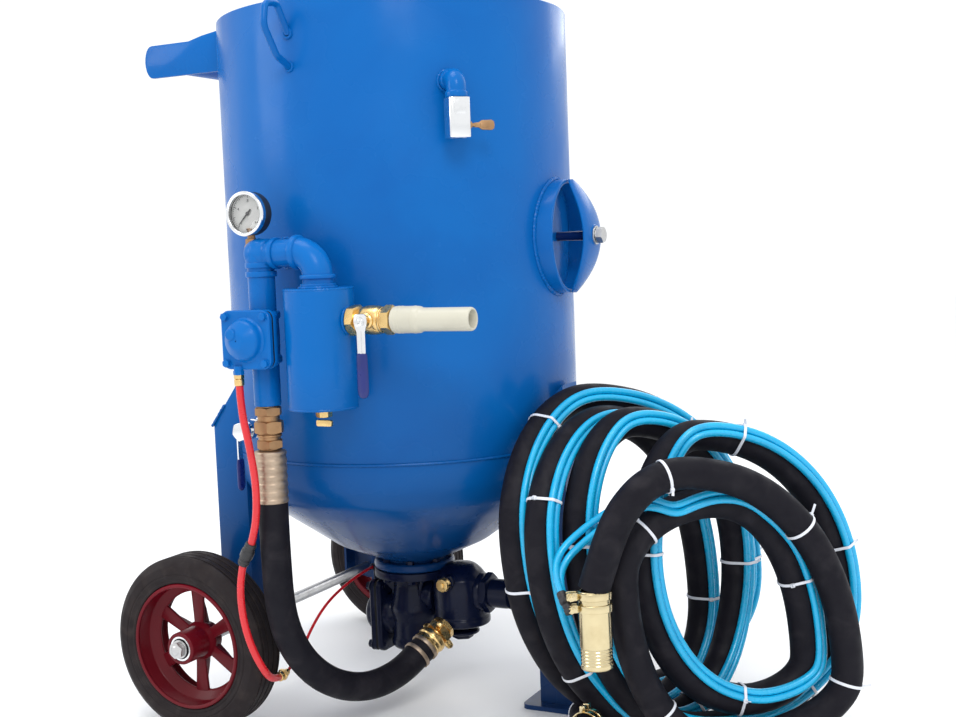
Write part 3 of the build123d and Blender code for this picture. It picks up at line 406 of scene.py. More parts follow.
class Shape:
    """Vertices and faces gathered in millimetres from the tank axis, made into one piece at the end."""

    def __init__(self):
        self.points, self.faces = [], []

    def loft(self, loops, caps=(True, True), ring=False):
        """Closed loops of equal length, skinned one to the next."""
        size, first = len(loops[0]), len(self.points)
        for loop in loops:
            self.points.extend(Vector(point) for point in loop)
        pairs = range(len(loops) if ring else len(loops) - 1)
        for row in pairs:
            a, b = first + row * size, first + (row + 1) % len(loops) * size
            for k in range(size):
                n = (k + 1) % size
                self.faces.append((a + k, a + n, b + n, b + k))
        if caps[0] and not ring:
            self.faces.append(tuple(range(first + size - 1, first - 1, -1)))
        if caps[1] and not ring:
            last = first + (len(loops) - 1) * size
            self.faces.append(tuple(range(last, last + size)))
        return self

    def turned(self, at, axis, profile, soft=1.0, sides=48, ring=False, caps=(True, True)):
        """A lathe shape: (radius, distance along the axis) points, with rounded corners."""
        axis = Vector(axis).normalized()
        first, second = frame_on(axis)
        outline = softened(profile, soft) if soft else [Vector(spot) for spot in profile]
        loops = []
        for spot in outline:
            centre = Vector(at) + axis * spot.y
            loops.append([centre + (first * cos(a) + second * sin(a)) * spot.x
                          for a in (2 * pi * k / sides for k in range(sides))])
        return self.loft(loops, caps, ring)

    def rod(self, at, axis, radius, length, soft=1.0, sides=32):
        """A plain round bar."""
        outline = [(radius * 0.02, 0), (radius, 0), (radius, length), (radius * 0.02, length)]
        return self.turned(at, axis, outline, soft, sides)

    def tube(self, at, axis, outer, inner, length, soft=1.0, sides=48):
        """A pipe end to end, open through the middle."""
        outline = [(inner, length / 2), (inner, 0), (outer, 0), (outer, length), (inner, length),
            (inner, length / 2)]
        return self.turned(at, axis, outline, soft, sides, ring=True)

    def hexagon(self, at, axis, flats, length, both=False, turn=0.0):
        """A hexagon with the chamfer of a turned bar at its outer end, or at both ends."""
        axis = Vector(axis).normalized()
        first, second = frame_on(axis)
        sides, half = 48, flats / 2
        angles = [2 * pi * k / sides for k in range(sides)]
        corner = [half / cos((angle + pi / 6) % (pi / 3) - pi / 6) for angle in angles]

        def loop(radii, heights):
            return [Vector(at) + axis * h + (first * cos(a + turn) + second * sin(a + turn)) * r
                    for a, r, h in zip(angles, radii, heights)]

        drop = [(r - half * 0.96) * 0.55 for r in corner]
        loops = []
        if both:
            loops.append(loop([half * 0.93] * sides, [0] * sides))
        loops.append(loop(corner, drop if both else [0] * sides))
        loops.append(loop(corner, [length - d for d in drop]))
        loops.append(loop([half * 0.93] * sides, [length] * sides))
        return self.loft(loops)

    def thread(self, at, axis, radius, length, pitch=1.5, sides=24):
        """Ridges of a screw thread with a pointed lead-in."""
        profile, height = [(radius * 0.3, 0), (radius * 0.86, 0)], 0.0
        while height < length - pitch:
            profile += [(radius * 0.86, height + pitch * 0.2), (radius, height + pitch * 0.6)]
            height += pitch
        profile += [(radius * 0.86, length), (radius * 0.3, length)]
        return self.turned(at, axis, profile, 0, sides)

    def bolt(self, at, axis, size, head):
        """A washer and a hexagon head, turned at random."""
        washer = [(1, 0), (size * 0.62, 0), (size * 0.62, 1.4), (1, 1.4)]
        self.turned(Vector(at) - Vector(axis) * 0.8, axis, washer, 0.4, 24)
        self.hexagon(Vector(at) + Vector(axis) * 0.6, axis, size, head, turn=random.random())
        return self

    def slab(self, at, axis, across, outline, thick, edge=1.2):
        """A plate from an outline given as (across, aside) points, with rounded edges."""
        first, second = frame_on(axis, across)
        axis = Vector(axis).normalized()
        centre = Vector((sum(p[0] for p in outline) / len(outline),
            sum(p[1] for p in outline) / len(outline)))
        loops = []
        for inset, depth in ((edge, 0), (edge * 0.3, edge * 0.3), (0, edge), (0, thick - edge),
                             (edge * 0.3, thick - edge * 0.3), (edge, thick)):
            loop = []
            for k, spot in enumerate(outline):
                here, after = Vector(spot), Vector(outline[(k + 1) % len(outline)])
                side = (after - Vector(outline[k - 1])).normalized()
                inward = Vector((-side.y, side.x))
                if inward.dot(centre - here) < 0 and inset:
                    inward = -inward
                moved = here + inward * inset
                loop.append(Vector(at) + first * moved.x + second * moved.y + axis * depth)
            loops.append(loop)
        return self.loft(loops)

    def pipe(self, path, radius, sides=32, closed=False, caps=(True, True)):
        """A round tube along points close together; radius may be a function of the point's number."""
        spots = [Vector(point) for point in path]
        loops, guide = [], None
        for k, spot in enumerate(spots):
            before = spots[k - 1] if k or closed else spot
            after = spots[(k + 1) % len(spots)] if k < len(spots) - 1 or closed else spot
            axis = (after - before).normalized()
            if guide is None:
                guide = frame_on(axis)[0]
            guide = (guide - axis * guide.dot(axis)).normalized()
            aside = axis.cross(guide)
            size = radius(k) if callable(radius) else radius
            loops.append([spot + (guide * cos(2 * pi * n / sides) + aside * sin(2 * pi * n / sides)) * size
                          for n in range(sides)])
        return self.loft(loops, caps, closed)

    def bead(self, path, radius, closed=True):
        """A weld bead: a thin tube with the ripples of its passes."""
        spots = [Vector(point) for point in path]

        def rippled(k):
            return radius * (1 + 0.13 * sin(k * 2.1) + 0.08 * random.uniform(-1, 1))

        return self.pipe(spots, rippled, 8, closed)

    def piece(self, name, look, body="pot", replaces=(), slot=None, crease=32):
        """The finished piece: a smooth mesh with sharp edges where faces meet at more than the crease."""
        mesh = bpy.data.meshes.new(name)
        mesh.from_pydata([place(point) for point in self.points], [], self.faces)
        mesh.validate()
        mesh.update()
        obj = bpy.data.objects.new(name, mesh)
        bpy.context.scene.collection.objects.link(obj)
        tools = bmesh.new()
        tools.from_mesh(mesh)
        bmesh.ops.recalc_face_normals(tools, faces=tools.faces)
        tools.to_mesh(mesh)
        tools.free()
        mesh.shade_smooth()
        mesh.set_sharp_from_angle(angle=radians(crease))
        return finish_piece(obj, look, body, replaces)


def rounded_box(width, tall, corner, steps=4):
    """The outline of a rounded rectangle about its middle."""
    outline = []
    for quarter, (sx, sy) in enumerate(((1, 1), (-1, 1), (-1, -1), (1, -1))):
        for k in range(steps + 1):
            angle = pi / 2 * (quarter + k / steps)
            outline.append((sx * (width / 2 - corner) + corner * cos(angle),
                            sy * (tall / 2 - corner) + corner * sin(angle)))
    return outline


def circle(centre, axis, radius, count=60):
    """Points round a circle that is square to an axis."""
    first, second = frame_on(axis)
    return [Vector(centre) + (first * cos(2 * pi * k / count) + second * sin(2 * pi * k / count)) * radius
            for k in range(count)]


def bend(points, radii, steps=8):
    """Points along straight runs joined by arcs of the given radii, close enough for a smooth tube."""
    spots = [Vector(point) for point in points]
    path = [spots[0]]
    for before, here, after, radius in zip(spots, spots[1:], spots[2:], radii):
        into, out = (before - here).normalized(), (after - here).normalized()
        half = into.angle(out) / 2
        reach, centre = radius / tan(half), here + (into + out).normalized() * radius / sin(half)
        start, end = here + into * reach - centre, here + out * reach - centre
        sweep = start.angle(end)
        for k in range(steps + 1):
            t = k / steps
            path.append(centre + start * (sin(sweep * (1 - t)) / sin(sweep))
                        + end * (sin(sweep * t) / sin(sweep)))
    return path + [spots[-1]]


def upright(angle):
    """The direction at an angle in radians from +X, in the upright plane of the gauge's dial."""
    return Vector((cos(angle), 0, sin(angle)))


def outward(angle):
    """The level direction at an angle in degrees from +X."""
    return Vector((cos(radians(angle)), sin(radians(angle)), 0))


# ---- tank ---------------------------------------------------------------------------------
def tank():
    """Skin with a rounded rim, bottom head with its flange, weld beads, lugs and handle."""
    wall = [(TANK_IN, SEAM_Z), (TANK_R, SEAM_Z), (TANK_R, RIM_Z - 0.2), (TANK_IN, RIM_Z - 0.2),
        (TANK_IN, SEAM_Z + 1)]
    Shape().turned((0, 0, 0), UP, wall, 3.2, 256, ring=True).piece("tank_skin", "blue",
        replaces=["tank_shell"], slot="blue_paint")
    bottom = [(42, 222), (FLANGE_R, 222), (FLANGE_R, 238), (53, 238), (100, 258), (140, 276), (196, 316),
        (252, 356), (284, 382), (301, 412), (TANK_R, 436), (TANK_R, SEAM_Z), (TANK_IN, SEAM_Z),
        (TANK_IN - 1, 434), (292, 412), (276, 386), (246, 362), (190, 322), (136, 283), (42, 244),
        (42, 230)]
    Shape().turned((0, 0, 0), UP, bottom, 9, 192, ring=True).piece(
        "bottom_head_skin", "blue", replaces=["tank_bottom_head"], slot="blue_paint")
    top = [(TANK_IN - 0.3, HEAD_Z), (250, HEAD_Z - 21), (190, HEAD_Z - 38), (130, HEAD_Z - 50),
        (PORT_R + 2, HEAD_Z - 57), (PORT_R, HEAD_Z - 52), (61, HEAD_Z - 52), (60, HEAD_Z - 71),
        (PORT_R, HEAD_Z - 71), (PORT_R, HEAD_Z - 64), (130, HEAD_Z - 56), (190, HEAD_Z - 44),
        (250, HEAD_Z - 27), (TANK_IN - 0.3, HEAD_Z - 6)]
    Shape().turned((0, 0, 0), UP, top, 2, 128, ring=True).piece("top_head_skin", "blue",
        replaces=["tank_top_head"], slot="blue_paint")
    welds = Shape()
    welds.bead(circle((0, 0, SEAM_Z), UP, TANK_R + 0.6, 620), 2.3)
    welds.bead(circle((0, 0, HEAD_Z + 1), UP, TANK_IN - 1, 520), 3.2)
    welds.bead(circle((0, 0, 239.5), UP, 56, 120), 3.0)
    for side in (-1, 1):
        for height in (LUG_LOW, LUG_HIGH):
            welds.bead(circle((LUG_X, side * (TANK_R + 1), height), (0, side, 0), 6.6, 26), 2.4)
        for up_side in (1, -1):
            run = [(-266 + 6 * t, side * ARM_Y + up_side * 5.5, 1109 + 69 * t)
                for t in (k / 30 for k in range(31))]
            welds.bead([(-sqrt(TANK_R**2 - p[1] ** 2) - 1, p[1], p[2]) for p in run], 2.3, False)
    welds.piece("tank_weld_beads", "blue", slot="blue_paint")


def lifting_lugs():
    """Bent rod rings at both sides of the skirt."""
    rings = Shape()
    for side in (-1, 1):
        route = [(LUG_X, side * (TANK_R - 1), LUG_LOW), (LUG_X, side * 338, 1103), (LUG_X, side * 368, 1146),
                 (LUG_X, side * 362, 1180), (LUG_X, side * 332, 1184), (LUG_X, side * (TANK_R - 1), LUG_HIGH)]
        rings.pipe(bend(route, [14, 22, 14, 13]), 5.5, 24)
    rings.piece("lifting_rings", "blue", replaces=["lifting_lugs"], slot="blue_paint")


def push_handle():
    """Two flat arms with rounded noses and the grip tube welded between them."""
    handle = Shape()
    half = ARM_HALF
    outline = [(-414, half), (-268, half), (-262.5, half - 3), (-262.5, -half - 9), (-266, -half - 12),
        (-300, -half - 7), (-330, -half), (-414, -half)]
    nose = [(-414 - 16 * sin(a), -cos(a) * half) for a in (radians(d) for d in range(15, 180, 15))]
    shape = [(x - GRIP_X, -z) for x, z in outline + nose]
    for side in (-1, 1):
        handle.slab((GRIP_X, side * ARM_Y + 4, GRIP_Z), FRONT, RIGHT, shape, 8, 1.5)
    handle.tube((GRIP_X, 2 - ARM_Y, GRIP_Z), (0, 1, 0), 16, 13, 2 * ARM_Y - 4, 1.2)
    for y in (4.5 - ARM_Y, ARM_Y - 4.5):
        handle.bead(circle((GRIP_X, y, GRIP_Z), FRONT, 16.3, 60), 1.7)
    handle.piece("handle_arms_and_grip", "blue", replaces=["push_handle"], slot="blue_paint")


# ---- running gear -------------------------------------------------------------------------
def wheel(side, name):
    """Ribbed solid tyre, dished rim with six ribbed spokes, and a hub with its sealed bearings."""
    hub = Vector((AXLE_X, side * WHEEL_Y, AXLE_Z))
    out = Vector((0, side, 0))
    body = f"{name}_wheel"
    tyre = Shape()
    half = TYRE_HALF
    profile = [(RIM_R, -half + 3), (RIM_R + 4, -half + 1.5), (RIM_R + 6, -half + 3), (RIM_R + 13, -half),
        (RIM_R + 15, -half + 1.6), (RIM_R + 17, -half), (WHEEL_R - 14, -half + 1), (WHEEL_R - 5, -half + 7)]
    for groove in (-20, -7, 7, 20):
        profile += [(WHEEL_R - 0.2, groove - 4.2), (WHEEL_R - 0.2, groove - 1.7),
            (WHEEL_R - 3.5, groove - 1.2), (WHEEL_R - 3.5, groove + 1.2), (WHEEL_R - 0.2, groove + 1.7)]
    profile += [(WHEEL_R - 0.2, 24.5), (WHEEL_R - 5, half - 7), (WHEEL_R - 14, half - 1),
        (RIM_R + 17, half), (RIM_R + 15, half - 1.6), (RIM_R + 13, half), (RIM_R + 6, half - 3),
        (RIM_R + 4, half - 1.5), (RIM_R, half - 3), (RIM_R, 0)]
    tyre.turned(hub, out, profile, 1.4, 160, ring=True)
    tyre.piece(f"tyre_{name}_ribbed", "tyre", body, [f"tyre_{name}"], "tyre_rubber")
    rim = Shape()
    rim.turned(hub, out, [(RIM_R - 0.6, -34), (RIM_R - 0.6, 34), (RIM_R - 3, 37), (RIM_R - 8, 35),
        (RIM_R - 5, 30), (RIM_R - 6, 6), (RIM_R - 20, -3), (RIM_R - 23, -6), (RIM_R - 20, -10),
        (RIM_R - 6, -10), (RIM_R - 5, -30), (RIM_R - 13, -33), (RIM_R - 12, -36), (RIM_R - 3, -36)], 2.2,
        120, ring=True)
    rim.turned(hub, out, [(21.1, -30), (27, -30), (27, -12), (33, -9), (33, -4), (27, 4), (27, 46),
        (25, 48), (21.1, 48)], 1.5, 64, ring=True)
    for k in range(SPOKES):
        angle = 2 * pi * k / SPOKES
        ray = Vector((sin(angle), 0, cos(angle)))
        rim.slab(hub - out * 9, out, ray, [(24, -9), (45, -10), (RIM_R - 20, -13), (RIM_R - 6, -16),
            (RIM_R - 6, 16), (RIM_R - 20, 13), (45, 10), (24, 9)], 6, 1.6)
        rim.slab(hub + ray * 24 - out * 4 - ray.cross(out) * 2.5, ray.cross(out), ray,
                 [(0, 0), (0, 26 * side), (26, 20 * side), (RIM_R - 40, 7 * side), (RIM_R - 34, 0)], 5, 1.0)
    rim.piece(f"rim_{name}_spoked", "red", body, [f"wheel_rim_{name}"], "red_paint")
    rings = Shape()
    for start in (-28, 36):
        face = hub + out * start
        rings.tube(face, out, 21, 17.2, 11, 0.8)
        rings.tube(face, out, 13.2, 10.1, 11, 0.8)
    rings.piece(f"bearing_races_{name}", "chrome", body, [f"wheel_bearings_{name}"], "steel")
    seals = Shape()
    for start in (-27.4, 36.8):
        seals.turned(hub + out * start, out, [(13, 0), (17.3, 0), (17.3, 9.2), (16, 9.8), (15.2, 9.1),
            (14.4, 9.8), (13, 9.2), (13, 5)], 0.5, 48, ring=True)
    seals.piece(f"bearing_seals_{name}", "seal", body, slot="black_rubber")


def axle():
    """Axle with chamfered ends, washers and nuts."""
    bar = Shape()
    reach = WHEEL_Y + 62
    bar.turned((AXLE_X, -reach, AXLE_Z), (0, 1, 0), [(6, 0), (10, 2.5), (10, 2 * reach - 2.5),
        (6, 2 * reach)], 0.8, 40)
    for side in (-1, 1):
        out = Vector((0, side, 0))
        start = Vector((AXLE_X, side * (WHEEL_Y + 48.4), AXLE_Z))
        bar.tube(start, out, 15.5, 10.1, 2.2, 0.4)
        bar.hexagon(start + out * 2.2, out, 24, 9.6, True, 0.35)
        bar.tube(Vector((AXLE_X, side * 222, AXLE_Z)), out, 17, 10.1, 6, 0.8)
    bar.piece("axle_with_nuts", "steel", replaces=["axle"], slot="steel")


def legs():
    """Folded channel legs with slanted tops, and welds where they meet the tank."""
    channels = Shape()
    width = LEG_FRONT - LEG_BACK
    for side in (-1, 1):
        def row(z_back, z_front, inset=0.0):
            outer = [(LEG_BACK + inset, 182), (LEG_BACK + inset, 210), (-269, 216), (-264, LEG_OUT - inset),
                     (-210, LEG_OUT - inset), (-205, 216), (LEG_FRONT - inset, 210), (LEG_FRONT - inset, 182)]
            inner = [(-207.6 + inset, 182), (-207.6, 208), (-209.5, 212), (-212, 213.4), (-262, 213.4),
                (-264.5, 212), (-266.4, 208), (-266.4 - inset, 182)]
            share = [(x - LEG_BACK) / width for x, y in outer + inner]
            return [(x, side * y, z_back + (z_front - z_back) * s) for (x, y), s in zip(outer + inner, share)]

        channels.loft([row(LEG_BOTTOM, LEG_BOTTOM, 0.6), row(LEG_BOTTOM + 1, LEG_BOTTOM + 1),
                       row(LEG_TOP - 2, LEG_TOP + 88), row(LEG_TOP, LEG_TOP + 90, 0.6)])
        seam = []
        for t in (k / 40 for k in range(41)):
            x = LEG_BACK + width * t
            out = sqrt(TANK_R**2 - x**2) if t > 0.42 else LEG_OUT + 1
            seam.append((x, side * out, LEG_TOP + 90 * t))
        channels.bead(seam, 2.4, False)
        foot = (AXLE_X, side * (LEG_OUT + 0.4), AXLE_Z)
        channels.tube(foot, (0, side, 0), 22, 10.2, 3.4, 0.8)
        channels.bead(circle(foot, (0, side, 0), 22.4, 60), 1.7)
    channels.piece("channel_legs", "blue", replaces=["wheel_legs"], slot="blue_paint")


# ---- air pipework -------------------------------------------------------------------------
def wall_point():
    """Where the branch from the riser meets the tank."""
    return Vector((RISER_X, AIR_Y, 0)).normalized() * TANK_R + UP * RUN_Z


def riser():
    """Riser with its cast corner, branch into the tank, and the big elbow down to the separator."""
    pipes = Shape()
    corner = Vector((RISER_X, AIR_Y, RUN_Z))
    route = bend([(RISER_X, AIR_Y, VALVE_Z + 40), corner, (SEP_X - 36, AIR_Y, RUN_Z)], [24], 12)
    pipes.pipe(route, PIPE_R, 48)
    branch = wall_point() - corner
    pipes.pipe([corner, corner + branch * 0.5, corner + branch * 1.02], PIPE_R, 48)
    pipes.bead(circle(wall_point() + branch.normalized() * 1, branch, PIPE_R + 2.2, 70), 3)
    for spot, axis in ((corner - UP * 36, UP), (corner - UP * 22, UP), (corner + RIGHT * 26, RIGHT)):
        pipes.turned(spot, axis, [(PIPE_R - 1, 0), (FITTING_R - 2, 0), (FITTING_R - 2, 9), (PIPE_R - 1, 9)],
            2.4, 48, caps=(False, False))
    pipes.turned(corner - UP * 24, UP, [(6, -2), (20, 0), (FITTING_R - 3, 12), (FITTING_R - 3, 30),
        (17, 44), (4, 48)], 9, 48)
    pipes.turned(corner - RIGHT * 14, RIGHT, [(6, -9), (18, -6), (FITTING_R - 3, 6), (FITTING_R - 3, 30),
        (PIPE_R, 33)], 6, 48)
    pipes.piece("riser_casting", "fitting_blue", slot="blue_paint")
    tail = Shape()
    tail.tube((RISER_X, AIR_Y, HOSE_TOP + FERRULE + UNION), UP, PIPE_R, 16,
        VALVE_Z - 39 - HOSE_TOP - FERRULE - UNION, 1.2)
    tail.piece("riser_tail", "fitting_blue", replaces=["riser_pipe"], slot="blue_paint")
    elbow = Shape()
    path = bend([(SEP_X - 38, AIR_Y, RUN_Z), (SEP_X, AIR_Y, RUN_Z), (SEP_X, AIR_Y, SEP_TOP + 1)], [36], 16)
    elbow.pipe(path, FITTING_R - 3, 56)
    elbow.turned((SEP_X - 39, AIR_Y, RUN_Z), RIGHT, [(20, 0), (FITTING_R + 0.5, 0), (FITTING_R + 0.5, 9),
        (FITTING_R - 4, 11)], 2.5, 56)
    for height in (0.4, 14):
        elbow.turned((SEP_X, AIR_Y, SEP_TOP + height), UP, [(20, -0.3), (FITTING_R + 1, 0),
            (FITTING_R + 1, 6.5), (20, 6.8)], 2.2, 56)
    elbow.bead(circle((SEP_X, AIR_Y, SEP_TOP + 0.8), UP, FITTING_R + 2.4, 70), 2.2)
    elbow.piece("crossover_casting", "fitting_blue", replaces=["crossover_elbow"], slot="blue_paint")


def separator():
    """Moisture separator: pipe body with welded ends, wall bracket and its drain boss."""
    can = Shape()
    can.turned((SEP_X, AIR_Y, SEP_BOTTOM), UP, [(7.1, 6), (7.1, 0), (SEP_R - 5, 0), (SEP_R - 3.4, 2.2),
        (SEP_R, 3), (SEP_R, 182), (SEP_R - 3.4, 182.8), (SEP_R - 5, 185), (16, 185), (16, 179),
        (SEP_R - 5, 179), (SEP_R - 5, 6)], 1.4, 96, ring=True)
    for height in (SEP_BOTTOM + 1.8, SEP_TOP - 1.8):
        can.bead(circle((SEP_X, AIR_Y, height), UP, SEP_R - 1.9, 190), 2.2)
    can.bead(circle((SEP_X + SEP_R - 0.5, AIR_Y, INLET_Z), RIGHT, 20, 66), 2.3)
    can.slab((SEP_X - 3.5, AIR_Y + 48, BRACKET_Z), RIGHT, UP, rounded_box(BRACKET_TALL, 36, 2), 7, 1.2)
    heights = [BRACKET_Z - 57 + BRACKET_TALL * k / 44 for k in range(45)]
    for x in (SEP_X - 4, SEP_X + 4):
        wall = -sqrt(TANK_R**2 - x * x) - 0.6
        can.bead([(x, wall, height) for height in heights], 2.3, False)
        can.bead([(x, AIR_Y + SEP_R - 0.6, height) for height in heights], 2.1, False)
    can.turned((SEP_X, AIR_Y, SEP_BOTTOM - 3.5), UP, [(7.2, 0), (15, 0), (17, 4), (7.2, 4)], 1, 40, ring=True)
    can.piece("separator_can", "blue", replaces=["separator_body"], slot="blue_paint")
    drain = Shape()
    axis = Vector((SEP_X, AIR_Y, SEP_BOTTOM))
    drain.thread(axis - UP * 4, UP, 6.9, 9)
    drain.hexagon(axis - UP * 14, UP, 22, 10, True)
    drain.slab(axis - UP * 18.5 - UP * 5 + Vector((0, 3, 0)), FRONT, RIGHT, rounded_box(28, 10, 3), 6, 1)
    drain.piece("drain_plug_wing", "brass", "drain_plug", ["separator_drain"], "brass")


def inlet_valve():
    """Brass ball valve with hexagon ends, its stamped lever with dipped sleeve, and the stepped adapter."""
    centre = Vector((158, AIR_Y, INLET_Z))
    start = Vector((116, AIR_Y, INLET_Z))
    body = Shape()
    body.turned(start - RIGHT * 3, RIGHT, [(12, 0), (18, 0), (18, 7), (12, 7)], 0.8, 40, ring=True)
    body.hexagon(start + RIGHT * 3, RIGHT, 42, 15, True, 0.2)
    body.turned(start, RIGHT, [(13, 16), (17.5, 17), (18.2, 22), (21.5, 30), (22.2, 42), (21.5, 54),
        (18.2, 61), (17.5, 65), (13, 66)], 3, 56)
    body.turned(start + RIGHT * 56, RIGHT, [(16, 0), (20, 1), (20, 5), (16, 6)], 1.2, 48)
    body.hexagon(start + RIGHT * 63, RIGHT, 39, 15.5, True, 0.5)
    body.turned(centre, FRONT, [(12.5, 14), (12.5, 24), (9.5, 26), (9.5, 33.6), (4.6, 33.6), (4.6, 20)],
        1.4, 40)
    body.piece("inlet_valve_casting", "brass", replaces=["inlet_valve_body"], slot="brass")
    lever = Shape()
    pivot = centre + FRONT * 35.6
    blade = [(-11, -7), (-8, -10.5), (0, -11.5), (9, -9.5), (16, -6.8), (58, -6.5), (108, -6.8), (111, -4),
        (111, 4), (108, 6.8), (58, 6.5), (16, 6.8), (9, 9.5), (0, 11.5), (-8, 10.5), (-11, 7)]
    lever.slab(pivot, FRONT, -UP, blade, 3, 0.8)
    lever.slab(pivot + FRONT * 2.4, FRONT, -UP, [(14, -1.6), (50, -1.6), (50, 1.6), (14, 1.6)], 1.6, 0.5)
    lever.rod(centre + FRONT * 30, FRONT, 5, 13, 0.8)
    lever.hexagon(pivot + FRONT * 3.1, FRONT, 13, 6, turn=0.3)
    lever.thread(pivot + FRONT * 7, FRONT, 3.6, 5.4, 0.9)
    lever.piece("inlet_lever_blade", "chrome", "inlet_handle", ["inlet_lever"], "chrome")
    sleeve = Shape()
    rows = []
    for s, wide, thick in ((47, 6.9, 1.9), (48, 8.4, 3.2), (52, 9.2, 3.9), (80, 9.7, 4.1), (104, 9.6, 4.0),
            (110, 8.0, 3.5), (113, 5.0, 2.2), (114, 1.5, 0.8)):
        rows.append([pivot - UP * s + FRONT * (1.5 + thick * sin(a) * (1 if abs(cos(a)) < 0.8 else 0.92))
                     + RIGHT * wide * cos(a) for a in (2 * pi * k / 28 for k in range(28))])
    sleeve.loft(rows)
    sleeve.piece("lever_sleeve_dipped", "vinyl", "inlet_handle", ["inlet_lever_sleeve"], "blue_sleeve")
    adapter = Shape()
    first = start + RIGHT * 79.6
    adapter.turned(first, RIGHT, [(13, 128), (13, 2), (15, 0), (19.4, 0), (20.2, 2), (20.2, 40), (19.6, 44),
        (17.9, 47), (17.5, 52), (17.5, 127.5), (16.2, 130), (14.2, 130)], 1.4, 64, ring=True)
    for s in (6, 12, 34):
        adapter.turned(first + RIGHT * s, RIGHT, [(20, 0), (20.7, 0.8), (20.7, 1.8), (20, 2.6)], 0.4, 64,
            caps=(False, False))
    adapter.piece("hose_adapter_stepped", "zinc", replaces=["inlet_adapter"], slot="adapter_zinc")


def square_valve(centre, front, across, plate, tall, reach, dome_r):
    """Hollow bonnet of a diaphragm valve: plate with rounded corners, ribs and a stepped dome."""
    lid = Shape()
    bore = dome_r - 5
    first, second = frame_on(front, across)
    outline = [Vector(spot) for spot in rounded_box(tall, plate, plate * 0.16, 15)]
    soft = [spot * (1 - 2 / spot.length) for spot in outline]
    hole = [spot.normalized() * bore for spot in outline]
    rows = ((hole, 0), (soft, 0), (outline, 1.6), (outline, 7.9), (soft, 9.5), (hole, 9.5))
    lid.loft([[centre + first * spot.x + second * spot.y + front * depth for spot in spots]
              for spots, depth in rows], ring=True)
    lid.turned(centre + front * 9, front, [(bore, 0), (dome_r + 5, 0), (dome_r + 1, 3), (dome_r, 10),
        (dome_r - 2, 14), (dome_r - 10, 20), (dome_r * 0.4, reach), (1, reach), (1, reach - 4),
        (dome_r * 0.4 - 2, reach - 4), (dome_r - 13, 16), (bore - 1, 11), (bore, 8)], 3, 64, ring=True)
    for k in range(4):
        angle = pi / 4 + pi / 2 * k
        ray = (first * (tall / plate) * cos(angle) + second * sin(angle)).normalized()
        lid.slab(centre + front * 9 + ray * dome_r * 0.85 - ray.cross(front) * 2.2, ray.cross(front), ray,
                 [(0, 0), (0, -9), (3, -9), (16, -1.5), (16, 0)], 4.4, 1)
    return lid


def remote_valve():
    """Air-operated valve on the riser: barrel with bands, flange plates, dome and side port."""
    centre = Vector((RISER_X, AIR_Y, VALVE_Z))
    face = centre + FRONT * 28
    body = Shape()
    body.turned(centre - UP * 40, UP, [(16, 30), (16, 0), (FITTING_R - 1, 0), (FITTING_R, 3),
        (FITTING_R, 10), (FITTING_R - 3, 13), (FITTING_R - 2, 40), (FITTING_R - 3, 68), (FITTING_R, 71),
        (FITTING_R, 81), (16, 82), (16, 60)], 2.2, 56, ring=True)
    body.turned(centre, FRONT, [(20, 6), (30, 16), (36, 22), (36, 29)], 6, 56)
    body.slab(face, FRONT, RIGHT, rounded_box(91, 91, 14), 9, 2)
    body.piece("remote_valve_barrel", "fitting_blue", replaces=["remote_valve_body"], slot="blue_paint")
    lid = square_valve(face + FRONT * 12, FRONT, RIGHT, 91, 91, 26, 31)
    lid.turned(face + FRONT * 12 + Vector((-9, 0, 10)), FRONT,
        [(11, 24), (9.5, 28), (9, 36), (7, 37.5), (2, 37.5)], 1.6, 40)
    lid.turned(centre + Vector((-16, -49, -43)), -UP, [(7.5, -3), (7.5, 8), (7, 10), (7, 14.5), (3, 14.5)],
        1, 32)
    lid.hexagon(centre + Vector((-16, -49, -47)), -UP, 15, 7, True)
    lid.piece("remote_valve_lid", "fitting_blue", replaces=["remote_valve_bonnet"], slot="blue_paint")


def valve_bolts():
    """Painted-over bolts of both diaphragm valves and of the outlet flange: head, washer, thread and nut."""
    upper, lower = Shape(), Shape()
    front_face = Vector((RISER_X, AIR_Y - 28, VALVE_Z))
    for x in (-36, 36):
        for z in (-36, 36):
            spot = front_face + Vector((x, 0, z))
            upper.bolt(spot + FRONT * 22, FRONT, 11, 5)
            upper.rod(spot - FRONT * 2, FRONT, 3, 25, 0.3, 16)
            upper.hexagon(spot - FRONT * 5.5, FRONT, 11, 5, True)
    for y in (-32, 32):
        for z in (GRIT_Z - 54, GRIT_Z + 54):
            spot = Vector((-51, y, z))
            lower.bolt(spot - RIGHT * 25.5, -RIGHT, 13, 6)
            lower.rod(spot + RIGHT * 2, -RIGHT, 4, 28, 0.3, 16)
    for k in range(FLANGE_BOLTS):
        angle = 2 * pi * (k + 0.5) / FLANGE_BOLTS
        spot = Vector((63 * cos(angle), 63 * sin(angle), 0))
        lower.hexagon(spot + UP * 201.6, UP, 13, 6.2, True, k)
        lower.rod(spot + UP * 207, UP, 4, 33, 0.3, 16)
        lower.hexagon(spot + UP * 238, UP, 13, 6, turn=k * 0.7)
    upper.piece("remote_lid_bolts", "fitting_blue", replaces=["valve_bolts"], slot="steel")
    lower.piece("flange_and_lid_bolts", "dark_blue", slot="steel")


